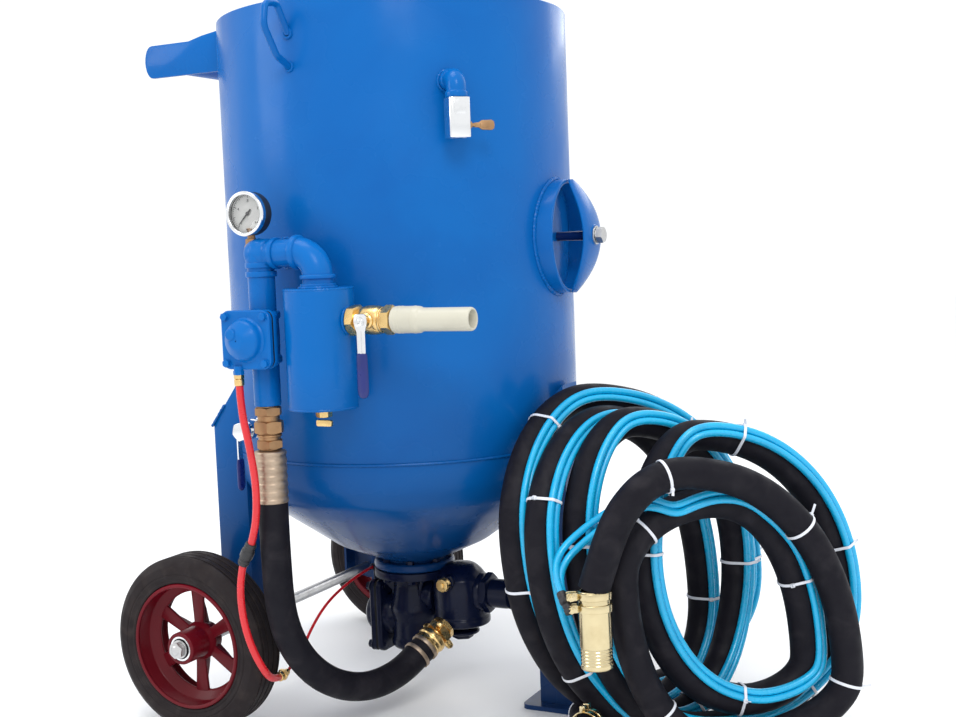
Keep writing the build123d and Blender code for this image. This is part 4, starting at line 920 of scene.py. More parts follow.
def gauge():
    """Stem with its hexagon, pressed case with a rolled bezel, printed dial, tapered needle and glass."""
    back = Vector((GAUGE_X, AIR_Y + 14, GAUGE_Z))
    case = Shape()
    case.turned(back, FRONT, [(1, 0), (GAUGE_R - 6, 0), (GAUGE_R - 1, 3), (GAUGE_R, 6), (GAUGE_R, 22),
        (GAUGE_R - 3.1, 22), (GAUGE_R - 3.1, 4), (1, 4)], 1.2, 96)
    case.piece("gauge_case_pressed", "black", replaces=["gauge_case"], slot="chrome")
    bezel = Shape()
    bezel.turned(back, FRONT, [(GAUGE_R - 3, 20), (GAUGE_R + 0.4, 20), (GAUGE_R + 0.6, 24.5),
        (GAUGE_R + 1.4, 28), (GAUGE_R + 0.4, 31), (GAUGE_R - 2.5, 32), (GAUGE_R - 4.6, 30.6),
        (GAUGE_R - 5, 28), (GAUGE_R - 3.1, 27), (GAUGE_R - 3.1, 21)], 0.8, 96, ring=True)
    bezel.piece("gauge_bezel_rolled", "chrome", slot="chrome")
    stem_at = Vector((GAUGE_X, AIR_Y, RUN_Z))
    stem = Shape()
    stem.turned(stem_at + UP * 8, UP, [(2, 0), (12, 0), (11, 6), (8, 9), (8, 14), (6, 18), (6, 30),
        (7.5, 33), (2, 33)], 1.5, 40)
    stem.hexagon(stem_at + UP * 15, UP, 17, 9, True)
    stem.piece("gauge_stem", "old_brass", slot="brass")
    face = back + FRONT * 18.2
    dial = Shape()
    dial.turned(back + FRONT * 16.4, FRONT, [(1.2, 0), (GAUGE_R - 3.3, 0), (GAUGE_R - 3.3, 1.7),
        (1.2, 1.7)], 0.3, 72, ring=True)
    dial.piece("gauge_dial_plate", "dial", replaces=["gauge_dial"], slot="white_dial")
    marks = Shape()
    for k in range(41):
        angle = radians(225 - 270 * k / 40)
        ray = upright(angle)
        long = 4.6 if k % 10 == 0 else 3.4 if k % 5 == 0 else 2.1
        wide = 0.42 if k % 5 == 0 else 0.22
        marks.slab(face + ray * (GAUGE_R - 5.6 - long), FRONT, ray,
            [(0, -wide), (long, -wide), (long, wide), (0, wide)], 0.25, 0.05)
    arc = [face + FRONT * 0.2 + upright(radians(225 - 3 * k)) * (GAUGE_R - 5.4) for k in range(91)]
    marks.pipe(arc, 0.22, 6)
    marks.piece("gauge_marks", "black")
    for k, label in enumerate(("0", "4", "8", "12", "16")):
        angle = radians(225 - 270 * k / 4)
        text = bpy.data.curves.new(f"dial_number_{label}", "FONT")
        text.body, text.size, text.extrude = label, 6.2 * MM, 0.1 * MM
        text.align_x, text.align_y = "CENTER", "CENTER"
        spot = place(face + FRONT * 0.25 + upright(angle) * (GAUGE_R - 14.5))
        number = bpy.data.objects.new(f"dial_number_{label}", text)
        bpy.context.scene.collection.objects.link(number)
        number.matrix_world = Matrix.Translation(spot) @ Matrix.Rotation(pi / 2, 4, "X")
        finish_piece(number, "black", "pot")
    needle = Shape()
    aim = Vector((-0.7071, 0, -0.7071))
    needle.slab(face + FRONT * 2.4, FRONT, aim, [(-9, -1.3), (0, -1.6), (24, -0.35), (24, 0.35), (0, 1.6),
        (-9, 1.3)], 0.7, 0.15)
    needle.turned(face + FRONT * 1.6, FRONT, [(0.4, 0), (3, 0), (3.2, 1.2), (2.2, 2.4), (0.4, 2.6)], 0.5, 32)
    needle.piece("gauge_needle_tapered", "black", "pointer", ["gauge_needle"], "black_plastic")
    lens = Shape()
    lens.turned(back + FRONT * 25.6, FRONT, [(0.5, 0), (GAUGE_R - 3.2, 0), (GAUGE_R - 3.2, 1.9), (20, 2.5),
        (0.5, 2.8)], 0.4, 72)
    lens.piece("gauge_glass_domed", "glass", replaces=["gauge_lens"], slot="clear_glass")


def vent():
    """Street elbow with a beaded mouth, square mini ball valve and its wing key."""
    away, side = outward(VENT_ANGLE), outward(VENT_ANGLE + 90)
    drop = away * (TANK_R + 40) + UP * VENT_Z
    elbow = Shape()
    elbow.pipe(bend([away * (TANK_R - 2) + UP * VENT_Z, drop, drop - UP * 27], [15.6], 14), 15.5, 44)
    elbow.turned(drop - UP * 30.5, UP, [(8.2, 6), (8.2, 0), (16, 0), (17.4, 2), (17.4, 8), (15.5, 11),
        (8.2, 11)], 1.4, 44, ring=True)
    elbow.turned(away * (TANK_R + 9) + UP * VENT_Z, away, [(14, -2), (17, 0), (17, 7), (15, 10)], 1.6, 44,
        caps=(False, False))
    elbow.bead(circle(away * (TANK_R + 0.8) + UP * VENT_Z, away, 16.6, 56), 2.7)
    elbow.piece("vent_street_elbow", "blue", replaces=["vent_elbow"], slot="blue_paint")
    centre = drop - UP * 72
    body = Shape()
    body.slab(drop - UP * 30.3, -UP, side, rounded_box(34, 34, 5.5), 61.6, 1.6)
    body.turned(drop - UP * 88, -UP, [(6.2, 0), (6.2, 3), (11, 4.4), (14, 4.4), (14, 3)], 0.5, 40,
        caps=(False, False))
    body.turned(centre + side * 16.5, side, [(3.4, 0), (8, 0), (8, 1.5), (3.4, 1.5)], 0.5, 32, ring=True)
    for reach in (-17.4, 17, 0, 0):
        body.slab(drop - UP * 45 + away * reach, away, UP, rounded_box(22, 20, 3), 0.6, 0.2)
    body.piece("vent_valve_block", "chrome", replaces=["vent_valve_body"], slot="chrome")
    key = Shape()
    key.rod(centre + side * 8, side, 3, 22, 0.6)
    key.hexagon(centre + side * 17.5, side, 10, 5, True)
    wing = [(0, -3.4), (8, -4), (13, -7.4), (29, -8), (33, -5.5), (34, 0), (33, 5.5), (29, 8), (13, 7.4),
        (8, 4), (0, 3.4)]
    key.slab(centre + side * 26 - away * 1.9, away, side, wing, 3.8, 1.1)
    key.slab(centre + side * 42 - away * 2.6, away, side, rounded_box(12, 8, 2), 5.2, 1)
    key.piece("vent_wing_key", "old_brass", "vent_handle", ["vent_key"], "chrome")


def blow_down():
    """Small ball valve on the shell beside the leg, with a hanging lever."""
    wall_y = -sqrt(TANK_R**2 - BLOW_X**2)
    at = Vector((BLOW_X, wall_y, BLOW_Z))
    body = Shape()
    body.turned(at, FRONT, [(6.6, 40), (6.6, 57), (11, 57.6), (14, 56), (14, 50), (12.6, 48), (15.6, 42),
        (16, 35), (15.6, 28), (12.6, 22), (12.6, -4), (6.6, -4)], 1.4, 44, ring=True)
    body.hexagon(at + FRONT * 8, FRONT, 30, 11, True)
    body.hexagon(at + FRONT * 49.6, FRONT, 28, 11, True, 0.3)
    body.turned(at + FRONT * 35, -RIGHT, [(8, 13), (7.4, 17.6), (3.6, 17.8), (3.6, 12)], 0.6, 32)
    body.bead(circle(at + FRONT * 3, FRONT, 14.6, 48), 2.4)
    body.piece("blowdown_valve_casting", "chrome", replaces=["blowdown_valve_body"], slot="chrome")
    lever = Shape()
    pivot = at + FRONT * 35 - RIGHT * 19.6
    lever.slab(pivot, -RIGHT, -UP, [(-9, -5), (-5, -8.6), (4, -8.6), (12, -6), (96, -6), (99, -3), (99, 3),
        (96, 6), (12, 6), (4, 8.6), (-5, 8.6), (-9, 5)], 2.8, 0.8)
    lever.rod(at + FRONT * 35 - RIGHT * 12, -RIGHT, 3, 12, 0.4)
    lever.hexagon(pivot - RIGHT * 2.9, -RIGHT, 10, 4.6)
    lever.piece("blowdown_lever_blade", "chrome", "blowdown_handle", slot="chrome")
    sleeve = Shape()
    rows = []
    for s, wide, thick in ((49, 6.4, 1.8), (51, 8.4, 3.2), (60, 9.2, 3.8), (92, 9.2, 3.8), (98, 7.8, 3.2),
            (101.5, 3, 1.2)):
        rows.append([pivot - UP * s - RIGHT * (1.4 + thick * sin(a)) + FRONT * wide * cos(a)
                     for a in (2 * pi * k / 28 for k in range(28))])
    sleeve.loft(rows)
    sleeve.piece("blowdown_lever_sleeve", "vinyl", "blowdown_handle", ["blowdown_lever"], "blue_sleeve")


def air_line():
    """Brass union, crimped ferrule, the air hose held at both ends, and its lower wing union."""
    start = Vector((RISER_X, AIR_Y, 0))
    union_z = HOSE_TOP + FERRULE
    union = Shape()
    union.turned(start + UP * union_z, UP, [(16, 20), (16, 0), (17.5, 0.5), (17.5, UNION - 0.5),
        (16, UNION), (16, 40)], 0.6, 48, ring=True)
    for z, flats, tall in ((2, 39, 14), (26, 42.5, 20), (54, 39, 14)):
        union.hexagon(start + UP * (union_z + z), UP, flats, tall, True, z * 0.3)
    union.turned(start + UP * (union_z + 20), UP, [(17, 0), (19.6, 1), (19.6, 4), (17, 5)], 0.8, 48,
        caps=(False, False))
    union.piece("air_union_nuts", "old_brass", slot="brass")
    ferrule = Shape()
    profile = [(16, 40), (16, 0.5), (24.6, 0.3), (25.6, 2)]
    for k in range(6):
        z = 6 + 12.6 * k
        profile += [(25.4, z), (24.2, z + 2.4), (24.2, z + 5.4), (25.4, z + 8.2)]
    profile += [(25.6, FERRULE - 5), (24.4, FERRULE - 2), (18, FERRULE - 0.4), (16, FERRULE - 0.6)]
    ferrule.turned(start + UP * HOSE_TOP, UP, profile, 1.2, 56, ring=True)
    ferrule.piece("air_hose_ferrule", "ferrule", slot="brass")
    route = [start + AIR_RUN * s + UP * z for s, z in AIR_ROUTE]
    end = route[-1]
    hose = line("air_hose_smooth", [start + UP * (HOSE_TOP + 30), *route, end + END_DIR * 12], HOSE_R, 10)
    finish_piece(hose, "hose", "pot", ["air_hose"])
    lower = Shape()
    lower.turned(end - END_DIR * 4, END_DIR, [(16, 10), (16, 0), (25, 0), (26, 2), (26, 9), (24.4, 11),
        (24.4, 17), (26, 19), (26, 27), (23, 30), (16, 30)], 1.2, 56, ring=True)
    lower.hexagon(end + END_DIR * 29, END_DIR, 44, 15, True, 0.4)
    lower.turned(end + END_DIR * 26, END_DIR, [(14, 0), (18, 1), (18, 24), (14, 24)], 1, 48)
    lower.hexagon(end + END_DIR * 46, END_DIR, 38, 9, True)
    first, second = frame_on(END_DIR)
    for turn in (40, 160, 280):
        ray = first * cos(radians(turn)) + second * sin(radians(turn))
        lower.slab(end + END_DIR * 37 + ray * 17 - ray.cross(END_DIR) * 4.4, ray.cross(END_DIR), ray,
            [(0, -6), (10, -6.4), (17, -5), (19, -1.5), (19, 1.5), (17, 5), (10, 6.4), (0, 6)], 8.8, 1.8)
    lower.piece("lower_wing_union", "brass", replaces=["hose_end_fittings"], slot="brass")
    clamp = Shape()
    for s in (-14, 6):
        clamp.tube(end - END_DIR * (10 - s), END_DIR, 26.2, 24, 7, 0.7)
    clamp.piece("lower_hose_bands", "ferrule", slot="steel")


def control_lines():
    """Red control hose in two lengths with its black joiner, the reducer and the thin pilot tube."""
    top_end = Vector(RED_TOP[-1])
    low_start = Vector(RED_LOW[0])
    joint = low_start - top_end
    finish_piece(line("red_hose_top", [*RED_TOP, top_end + joint * 0.1], 6), "red_hose", "pot",
        ["control_hoses"])
    finish_piece(line("red_hose_bottom", [low_start - joint * 0.1, *RED_LOW], 6), "red_hose", "pot")
    finish_piece(line("pilot_tube_smooth", PILOT, 2.6), "red_hose", "pot")
    joiner = Shape()
    axis, long = joint.normalized(), joint.length
    joiner.turned(top_end, axis, [(6.1, 0), (8.6, 0.6), (8.6, long * 0.3), (10.8, long * 0.36),
        (10.8, long * 0.64), (8.6, long * 0.7), (8.6, long - 0.6), (6.1, long)], 1, 36)
    for share in (0.08, 0.2, 0.74, 0.86):
        joiner.turned(top_end + joint * share, axis, [(8, 0), (9.4, 0.8), (9.4, 2), (8, 3)], 0.5, 36,
            caps=(False, False))
    joiner.piece("red_hose_joiner", "black", replaces=["control_fittings"], slot="black_plastic")
    reducer = Shape()
    step = Vector(PILOT[0]) - Vector(RED_LOW[-1])
    reducer.turned(RED_LOW[-1], step, [(4, -1), (8, 0), (8, step.length * 0.45), (5.4, step.length * 0.6),
        (5.4, step.length), (2.6, step.length + 1)], 0.8, 32)
    reducer.hexagon(Vector(RED_LOW[-1]) + step * 0.3, step, 17, 7, True)
    reducer.hexagon((RED_TOP[0][0], RED_TOP[0][1], RED_TOP[0][2] - 2), UP, 14, 9, True)
    reducer.turned(RED_TOP[0], -UP, [(6.1, 2), (7.8, 3), (7.8, 12), (6.1, 13)], 0.6, 32)
    reducer.piece("control_reducers", "brass", slot="brass")


# ---- abrasive valve and mixing tee --------------------------------------------------------
def abrasive_valve():
    """Cast valve body under the outlet flange and its square lid towards the wheels."""
    body = Shape()
    centre = Vector((BODY_X, 0, 0))
    body.turned(centre + UP * 62, UP, [(3, 0), (22, 0), (25, 1), (25, 8), (BODY_R - 6, 9), (BODY_R, 15),
        (BODY_R + 1, 22), (BODY_R - 2, 30), (BODY_R - 3, 60), (BODY_R + 3, 82), (BODY_R - 2, 104),
        (BODY_R - 6, 128), (BODY_R, 146), (30, 148)], 5, 72)
    body.hexagon(centre + UP * 58, UP, 46, 12, True, 0.2)
    body.turned((0, 0, FLANGE_Z - 14.5), UP, [(28, 0), (FLANGE_R, 0), (FLANGE_R, 14), (28, 14)], 1.8, 96)
    body.turned((BODY_X, 0, GRIT_Z), -RIGHT, [(20, 10), (34, 28), (39, 36), (39, 48)], 7, 64)
    body.slab((-51, 0, GRIT_Z), -RIGHT, UP, rounded_box(132, 82, 13), 11, 2.2)
    body.turned((BODY_X + 20, 0, 172), RIGHT, [(26, 0), (30, 14), (30, 26), (33, 32)], 5, 56)
    for k in range(4):
        angle = pi / 4 + k * pi / 2
        ray = Vector((cos(angle), sin(angle), 0))
        body.slab(centre + ray * 34 + UP * 172 - ray.cross(UP) * 3, ray.cross(UP), UP,
            [(0, 0), (36, 0), (36, -26), (30, -26), (8, -8), (0, -7)], 6, 1.4)
    body.piece("abrasive_valve_casting", "dark_blue", replaces=["abrasive_valve_body"],
        slot="dark_blue_paint")
    face = Vector((-65, 0, GRIT_Z))
    lid = square_valve(face, -RIGHT, UP, 82, 132, 22, 35)
    for z in (GRIT_Z - 54, GRIT_Z + 54):
        for y in (-32, 32):
            lid.turned((-73, y, z), -RIGHT, [(11, 0), (10.4, 2.2), (8, 2.8)], 0.8, 36)
    post_x, top = PILOT[-1][0], PILOT[-1][2]
    lid.turned((post_x, 0, GRIT_Z + 24), UP, [(6, 0), (6, 10), (5, 14), (5, top - GRIT_Z - 26),
        (6.4, top - GRIT_Z - 22), (2, top - GRIT_Z - 19)], 1, 32)
    lid.hexagon((post_x, 0, GRIT_Z + 40), UP, 14, 9, True)
    lid.turned((post_x, 0, top), FRONT, [(5, -6), (5, 4), (6.4, 5), (6.4, 12), (3, 13)], 0.8, 32)
    lid.piece("abrasive_valve_lid", "dark_blue", replaces=["abrasive_valve_bonnet"], slot="dark_blue_paint")


def mixing_tee():
    """Mixing chamber with its raised bands, outlet with a threaded nose, metering gland, plug and knob."""
    centre = Vector((TEE_X, 0, 0))
    tee = Shape()
    tee.turned(centre + UP * 124, UP, [(24, 0), (TEE_R - 2, 0), (TEE_R + 1.5, 3), (TEE_R + 1.5, 13),
        (TEE_R - 2, 17), (TEE_R - 1, 30), (TEE_R, 58), (TEE_R - 1, 76), (TEE_R - 2, 84), (TEE_R - 12, 98),
        (26, 108), (4, 111)], 5, 80)
    outlet = centre + UP * OUTLET_Z
    tee.turned(outlet, RIGHT, [(20, 30), (36, 40), (33, 50), (OUTLET_R + 1, 54)], 5, 64, caps=(False, False))
    tee.hexagon(outlet + RIGHT * 48, RIGHT, 62, 16, True, 0.3)
    nose = [(17, 100), (17, 147), (21, 147), (OUTLET_R - 1.6, 144)]
    for k in range(17):
        nose += [(OUTLET_R, 142.5 - 2.6 * k), (OUTLET_R - 1.6, 141.2 - 2.6 * k)]
    nose += [(OUTLET_R, 94), (OUTLET_R, 50), (17, 50)]
    tee.turned(outlet, RIGHT, nose, 0, 56, ring=True)
    tee.turned(centre + UP * KNOB_Z, FRONT, [(4.2, 40), (4.2, 58), (8.6, 58), (10.4, 56), (10.4, 46),
        (13, 42), (14, 34)], 1.2, 36, caps=(False, False))
    tee.hexagon(centre + UP * KNOB_Z + FRONT * 48, FRONT, 24, 7, True)
    tee.piece("mixing_tee_casting", "dark_blue", replaces=["mixing_tee"], slot="dark_blue_paint")
    plug = Shape()
    plug.thread(centre + UP * 110, UP, 27, 14, 2.3, 48)
    plug.turned(centre + UP * 97, UP, [(2, 0), (14, 0), (15, 1.5), (15, 5), (29, 9), (31, 11), (31, 14),
        (26, 16)], 1.6, 56)
    plug.hexagon(centre + UP * 96.8, -UP, 32, 0.1)
    plug.hexagon(centre + UP * 110, -UP, 34, 13)
    plug.piece("cleanout_plug_hex", "dark_blue", "cleanout", ["cleanout_plug"], "dark_blue_paint")
    knob = Shape()
    sides, rows = 60, []
    for radius, depth in ((8, 0), (11, 0.6), (12.4, 2.4), (12.4, 11.4), (10.8, 13.4), (4, 14)):
        rows.append([centre + UP * KNOB_Z + FRONT * (TEE_R + 8.4 + depth) + (RIGHT * cos(a) + UP * sin(a))
            * radius * (1 - (0.09 if radius > 12 else 0.0) * (cos(10 * a) > 0.2))
            for a in (2 * pi * k / sides for k in range(sides))])
    knob.loft(rows)
    knob.turned(centre + UP * KNOB_Z + FRONT * (TEE_R + 22), FRONT, [(4.2, 0), (4.2, 3), (2, 3.6)], 0.4, 24)
    knob.piece("metering_knob_fluted", "brass", "metering_dial", ["metering_knob"], "brass")


# ---- hand hole ----------------------------------------------------------------------------
def oval(x, half_y, half_z, count=96):
    """An oval round the hand hole's axis, at x millimetres from the tank axis."""
    return [Vector((x, half_y * cos(2 * pi * k / count), HAND_Z + half_z * sin(2 * pi * k / count)))
        for k in range(count)]


def hand_hole():
    """Welded oval neck, dished inside cover with stud and bolts, leaf-shaped crossbar and its nut."""
    neck = Shape()
    rows = [(288, 0.6), (288.6, 0), (NECK_X - 1.6, 0), (NECK_X - 0.5, 0.5), (NECK_X, 1.6), (NECK_X, 5.4),
            (NECK_X - 0.5, 6.5), (NECK_X - 1.6, 7), (288, 7)]
    neck.loft([oval(x, HAND_Y - inset, HAND_H - inset) for x, inset in rows], ring=True)
    seam = []
    for k in range(280):
        angle = 2 * pi * k / 280
        y, z = (HAND_Y + 1.6) * cos(angle), (HAND_H + 1.6) * sin(angle)
        seam.append((sqrt(TANK_R**2 - y * y) + 0.8, y, HAND_Z + z))
    neck.bead(seam, 3.4)
    neck.piece("hand_hole_ring", "blue", replaces=["hand_hole_neck"], slot="blue_paint")
    cover = Shape()
    rows = [(275.2, 2), (276, 1), (281.4, 1), (283, 3), (283, 11), (290.5, 11.6), (291.6, 13), (290, 24),
            (287.5, 40), (286.5, 70)]
    cover.loft([oval(x, HAND_Y - inset, HAND_H - inset) for x, inset in rows])
    for dy, dz in ((-34, 34), (-40, -12), (26, -44)):
        spot = Vector((288, dy, HAND_Z + dz))
        cover.rod(spot, RIGHT, 5, 13, 0.5)
        cover.bolt(spot + RIGHT * 4, RIGHT, 13, 6)
    cover.thread((290, 0, HAND_Z), RIGHT, 7.9, 95, 2.0)
    cover.hexagon((287, 0, HAND_Z), RIGHT, 26, 14, False)
    # painted shade: the cover is blue paint but takes the dark blue enamel, standing in for the shade in the
    # recess behind the crossbar
    cover.piece("hand_hole_lid", "dark_blue", replaces=["hand_hole_cover"], slot="blue_paint")
    yoke = Shape()
    arch, leaf_half = 37, 34
    rows = []
    for k in range(41):
        share = -1 + 2 * k / 40
        z = HAND_H * 0.995 * share
        under = NECK_X + 0.8 + arch * (1 - share * share)
        crown = under + 8.2
        half = leaf_half * (1 - abs(share) ** 2.2) ** 0.62 + 2.2
        rim = []
        for y, x in ((-half, under + 1), (-half - 0.6, (crown + under) / 2 - 1), (-half * 0.93, crown - 3),
                (-half * 0.6, crown - 0.4), (0, crown + 0.5), (half * 0.6, crown - 0.4),
                (half * 0.93, crown - 3), (half + 0.6, (crown + under) / 2 - 1), (half, under + 1),
                (half * 0.5, under), (0, under), (-half * 0.5, under)):
            rim.append(Vector((x, y, HAND_Z + z)))
        rows.append(rim)
    yoke.loft(rows)
    yoke.turned((NECK_X + 36, 0, HAND_Z), RIGHT, [(8.4, 0), (19, 8), (17, 10.8), (8.4, 10.8)], 1.4, 48)
    yoke.piece("hand_hole_crossbar", "blue", "yoke", ["hand_hole_yoke"], "blue_paint")
    nut = Shape()
    nut.tube((NECK_X + 47, 0, HAND_Z), RIGHT, 15.5, 8.1, 2.6, 0.5)
    nut.hexagon((NECK_X + 49.8, 0, HAND_Z), RIGHT, 24, 12.4, True, 0.25)
    nut.piece("hand_hole_nut_hex", "steel", "yoke_nut", ["hand_hole_nut"], "steel")


# ---- blast hose, its control hoses and what is on them --------------------------------------


def arc_lengths(path):
    """How far along a path each of its points is."""
    total = [0.0]
    for here, there in zip(path, path[1:]):
        total.append(total[-1] + (there - here).length)
    return total


def ray_out(path, k):
    """The way along the coil at a point, and the side of the hose that carries the twin lines."""
    tangent = (path[min(k + 1, len(path) - 1)] - path[max(k - 1, 0)]).normalized()
    guide = ALONG * 0.50 + UP * 0.42 - DEPTH * 0.72
    return tangent, (guide - tangent * guide.dot(tangent)).normalized()


def beside(path, turn, sway=radians(7), near_by=14, rounds=14, lowest=CYAN_R + 3.4):
    """A line that lies on the hose, turned about it by an angle, kept clear of the other turns."""
    reach = HOSE_R + CYAN_R - 0.4
    spots = []
    for k, spot in enumerate(path):
        tangent, ray = ray_out(path, k)
        angle = turn + sway * sin(k * 0.045)
        spots.append(spot + (ray * cos(angle) + tangent.cross(ray) * sin(angle)) * reach)
    hose_line = np.array(path)
    lane = np.array(spots)
    number = np.arange(len(path))
    other = np.abs(number[:, None] - number[None, :]) > near_by
    for _ in range(rounds):
        gap = lane[:, None, :] - hose_line[None, :, :]
        far = np.linalg.norm(gap, axis=2)
        near = np.where(other & (far < reach), reach - far, 0.0)
        lane += (gap / far[..., None] * near[..., None]).sum(axis=1) * 0.35
        lane[1:-1] = lane[1:-1] * 0.6 + (lane[:-2] + lane[2:]) * 0.2
        own = lane - hose_line
        size = np.linalg.norm(own, axis=1)[:, None]
        lane = hose_line + own / size * np.maximum(size, reach)
        lane[:, 2] = np.maximum(lane[:, 2], lowest)
    return [Vector(row) for row in lane]


def hull(points):
    """Convex outline of points in a plane."""
    points = sorted(points)
    halves = []
    for run in (points, points[::-1]):
        half = []
        for p in run:
            while len(half) > 1 and ((half[-1][0] - half[-2][0]) * (p[1] - half[-2][1])
                                     - (half[-1][1] - half[-2][1]) * (p[0] - half[-2][0])) <= 0:
                half.pop()
            half.append(p)
        halves += half[:-1]
    return halves


def tie_on(shape, path, lanes, k):
    """A cable tie round the hose and the lines beside it: band, lock head and cut tail."""
    tangent = (path[k + 1] - path[k - 1]).normalized()
    ray = ray_out(path, k)[1]
    aside = tangent.cross(ray)
    dots = []
    for centre, radius in [(path[k], HOSE_R)] + [(lane[k], CYAN_R) for lane in lanes]:
        off = centre - path[k]
        if off.length < HOSE_R + 5 * CYAN_R:
            for n in range(40):
                a = 2 * pi * n / 40
                dots.append((off.dot(ray) + cos(a) * (radius + 0.4),
                    off.dot(aside) + sin(a) * (radius + 0.4)))
    rim = hull(dots)
    middle = Vector((sum(p[0] for p in rim) / len(rim), sum(p[1] for p in rim) / len(rim)))
    rows = []
    for across, grow in ((-2.2, 0), (-2.2, 1.1), (-1.6, 1.5), (1.6, 1.5), (2.2, 1.1), (2.2, 0)):
        row = []
        for p in rim:
            moved = Vector(p) + (Vector(p) - middle).normalized() * grow
            row.append(path[k] + ray * moved.x + aside * moved.y + tangent * across)
        rows.append(row)
    shape.loft(rows, ring=True)
    lock = max(rim, key=lambda p: p[1] * (1 if k % 2 else -1) + p[0] * 0.6)
    spot = path[k] + ray * lock[0] + aside * lock[1]
    away = (spot - path[k]).normalized()
    shape.slab(spot - away * 0.5, away, tangent, rounded_box(6.2, 6.8, 1.2), 4.4, 0.8)
    shape.slab(spot + away * 3, away + tangent * 0.5, tangent, rounded_box(4, 1.3, 0.5, 2),
        random.uniform(5, 16), 0.4)


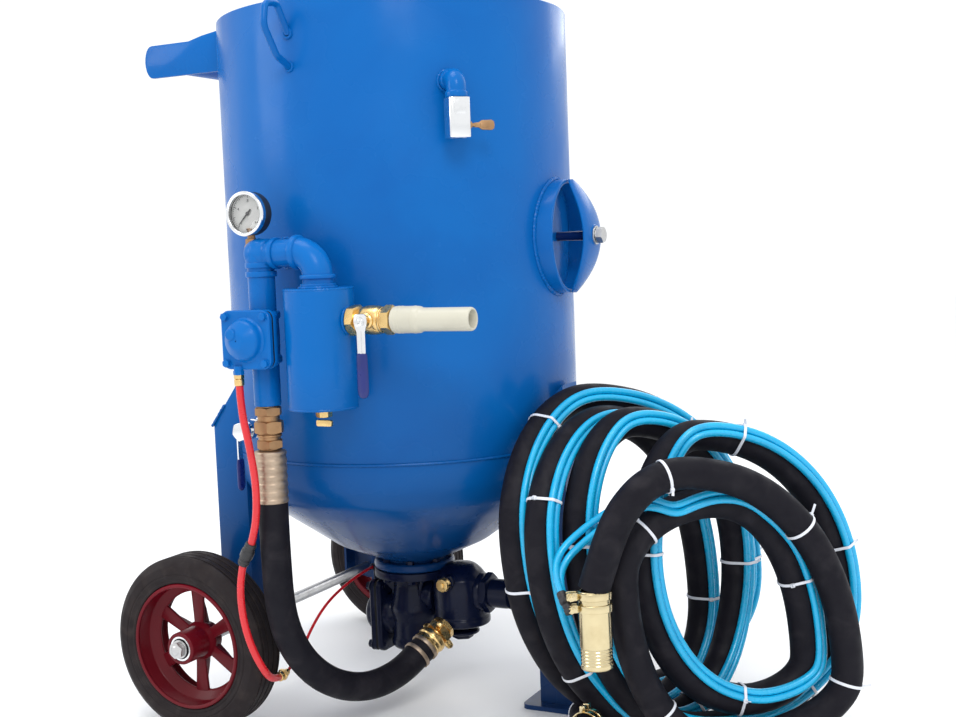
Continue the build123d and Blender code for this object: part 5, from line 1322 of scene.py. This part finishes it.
def blast_hose():
    """The coil: blast hose, twin control hoses, cable ties, nozzle holder with its clamps, and the claw."""
    route = coil_route()
    hose = finish_piece(line("blast_hose", route, HOSE_R, 12), "hose", "pot", ["blast_hose_coil"])
    path = evaluated(route)
    arcs = arc_lengths(path)
    lanes = [beside(path, radians(turn)) for turn in (-LANE_TURN, LANE_TURN)]
    cut_low = next(k for k, s in enumerate(arcs) if s > 120)
    leaving = coil_place(382, -440, 386)
    cut_high = min(range(len(path)), key=lambda k: (path[k] - leaving).length)
    free_end = [(364, -464, 405), (334, -451, 399), (298, -440, 379), (260, -432, 352), (224, -440, 322),
        (212, -468, 292), (222, -497, 265)]
    fittings = Shape()
    cords = []
    for number, lane in enumerate(lanes):
        shift = DEPTH * 8 * number + UP * 13 * number - ALONG * 6 * number
        held = lane[cut_low:cut_high]
        kept = held + evaluated([held[-1], *(coil_place(*stop) + shift for stop in free_end)])[1:]
        for _ in range(6):
            for k in range(len(held) - 8, len(held) + 8):
                kept[k] = (kept[k - 1] + kept[k] * 2 + kept[k + 1]) / 4
        name = f"control_hose_{number + 1}"
        tube = Shape().pipe(kept, CYAN_R, 16)
        cords.append((tube.piece(name, "cyan", slot="red_hose", crease=60), kept))
        for end, before in ((kept[0], kept[2]), (kept[-1], kept[-4])):
            axis = (end - before).normalized()
            fittings.turned(end - axis * 12, axis, [(CYAN_R - 1, 0), (CYAN_R + 1.6, 1), (CYAN_R + 1.6, 9),
                (CYAN_R + 0.4, 11), (CYAN_R + 0.4, 19), (3, 20)], 0.8, 28)
            fittings.hexagon(end + axis * 1, axis, 13.5, 6, True)
    ends = fittings.piece("control_hose_fittings", "black", slot="black_plastic")
    ties = Shape()
    k, target = 0, 150.0
    while target < arcs[-1] - 150:
        while arcs[k] < target:
            k += 1
        tie_on(ties, path, lanes if k < cut_high else [], k)
        target += TIE_GAP * random.uniform(0.8, 1.2)
    tie_piece = ties.piece("cable_ties", "nylon")
    holder = Shape()
    profile = [(19, 40), (19, 3), (20, 0), (23.2, 0), (24, 2), (24, 84)]
    for n in range(5):
        profile += [(22.6, 86 + 5 * n), (24, 88.5 + 5 * n)]
    profile += [(24, 114), (22.4, 116), (19.6, 116), (19, 113)]
    holder.turned(HOLDER_TOP, HOLDER_DIR, profile, 0.8, 64, ring=True)
    holder_piece = holder.piece("nozzle_holder_turned", "cast_silver", replaces=["nozzle_holder"],
        slot="brass")
    liner = Shape()
    liner.tube(HOLDER_TOP + HOLDER_DIR * 62, HOLDER_DIR, 19, 13, 40, 1.5)
    liner_piece = liner.piece("nozzle_washer", "red_hose", slot="red_hose")
    clamps = Shape()
    for start in (2, 20):
        spot = HOLDER_TOP + HOLDER_DIR * start
        clamps.tube(spot, HOLDER_DIR, 26.6, 24.1, 11, 1.0)
        for shift in (-5.5, 5.5):
            lug = spot + HOLDER_DIR * 5.5 - ALONG * 33 + DEPTH * (shift + 1.8)
            clamps.slab(lug, -DEPTH, ALONG, rounded_box(17, 12, 2.5), 3.6, 0.9)
        bolt_at = spot + HOLDER_DIR * 5.5 - ALONG * 35 - DEPTH * 8
        clamps.rod(bolt_at + DEPTH * 22, -DEPTH, 2.9, 30, 0.4, 20)
        clamps.bolt(bolt_at, -DEPTH, 10, 5)
        clamps.hexagon(bolt_at + DEPTH * 15, DEPTH, 10, 5)
    tail = CLAW_AT - CLAW_DIR * 66
    for start in (4, 17):
        clamps.tube(tail + CLAW_DIR * start, CLAW_DIR, 26.4, 24.1, 8, 0.9)
        clamps.slab(tail + CLAW_DIR * (start + 4) + UP * 29, CLAW_DIR.cross(UP), UP, rounded_box(11, 9, 2),
            9, 0.9)
    clamp_piece = clamps.piece("hose_bolt_clamps", "cast_silver", replaces=["hose_clamps"], slot="steel")
    claw = Shape()
    claw.turned(CLAW_AT - CLAW_DIR * 34, CLAW_DIR, [(13, 20), (13, 0), (16, 0), (17.5, 4), (16.4, 10),
        (17.5, 13), (17.5, 24), (22, 26), (26, 28), (27, 34), (26, 40), (21, 44), (21, 56), (24, 58),
        (24, 62), (15, 62), (13, 60)], 1.6, 56, ring=True)
    across = CLAW_DIR.cross(UP).normalized()
    for sign in (1, -1):
        ear = [(12, -12), (26, -12.5), (32, -8), (33, 0), (32, 8), (26, 12.5), (12, 12)]
        claw.slab(CLAW_AT + CLAW_DIR * 14, CLAW_DIR, UP * sign, ear, 24, 2.6)
        claw.slab(CLAW_AT + CLAW_DIR * 36 + UP * sign * 25 + across * 6, CLAW_DIR, UP * sign,
            rounded_box(13, 12, 3), 8, 1.8)
    claw_piece = claw.piece("claw_coupling_cast", "brass", replaces=["claw_coupling"], slot="brass")
    gasket = Shape().tube(CLAW_AT + CLAW_DIR * 26, CLAW_DIR, 19, 13.5, 4, 1.2)
    gasket_piece = gasket.piece("claw_gasket", "seal", slot="black_rubber")
    place(route[0])
    for obj, kept in cords:
        place(kept[0])
        round(arc_lengths(kept)[-1] * MM, 2)
        [place(p) for p in kept]


# ---- carried-over CAD nodes -------------------------------------------------------------------
CARRIED = {"popup_valve": "steel", "tank_seals": "seal", "air_guide_pipe": "fitting_blue",
    "inlet_valve_ball": "chrome", "separator_filter": "steel", "remote_valve_piston": "steel",
    "abrasive_valve_piston": "steel", "valve_diaphragms": "seal", "metering_plunger": "steel",
    "front_leg": "blue"}


def carried_nodes():
    """Nodes that keep their CAD shape, with their own looks."""
    for node, look in CARRIED.items():
        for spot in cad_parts[node].material_slots:
            spot.material = LOOKS[look]


# ---- build ------------------------------------------------------------------------------------
studio()
blast_hose()
tank()
lifting_lugs()
push_handle()
for side, name in ((-1, "near"), (1, "far")):
    wheel(side, name)
axle()
legs()
riser()
separator()
inlet_valve()
remote_valve()
valve_bolts()
gauge()
vent()
blow_down()
air_line()
control_lines()
abrasive_valve()
mixing_tee()
hand_hole()
carried_nodes()
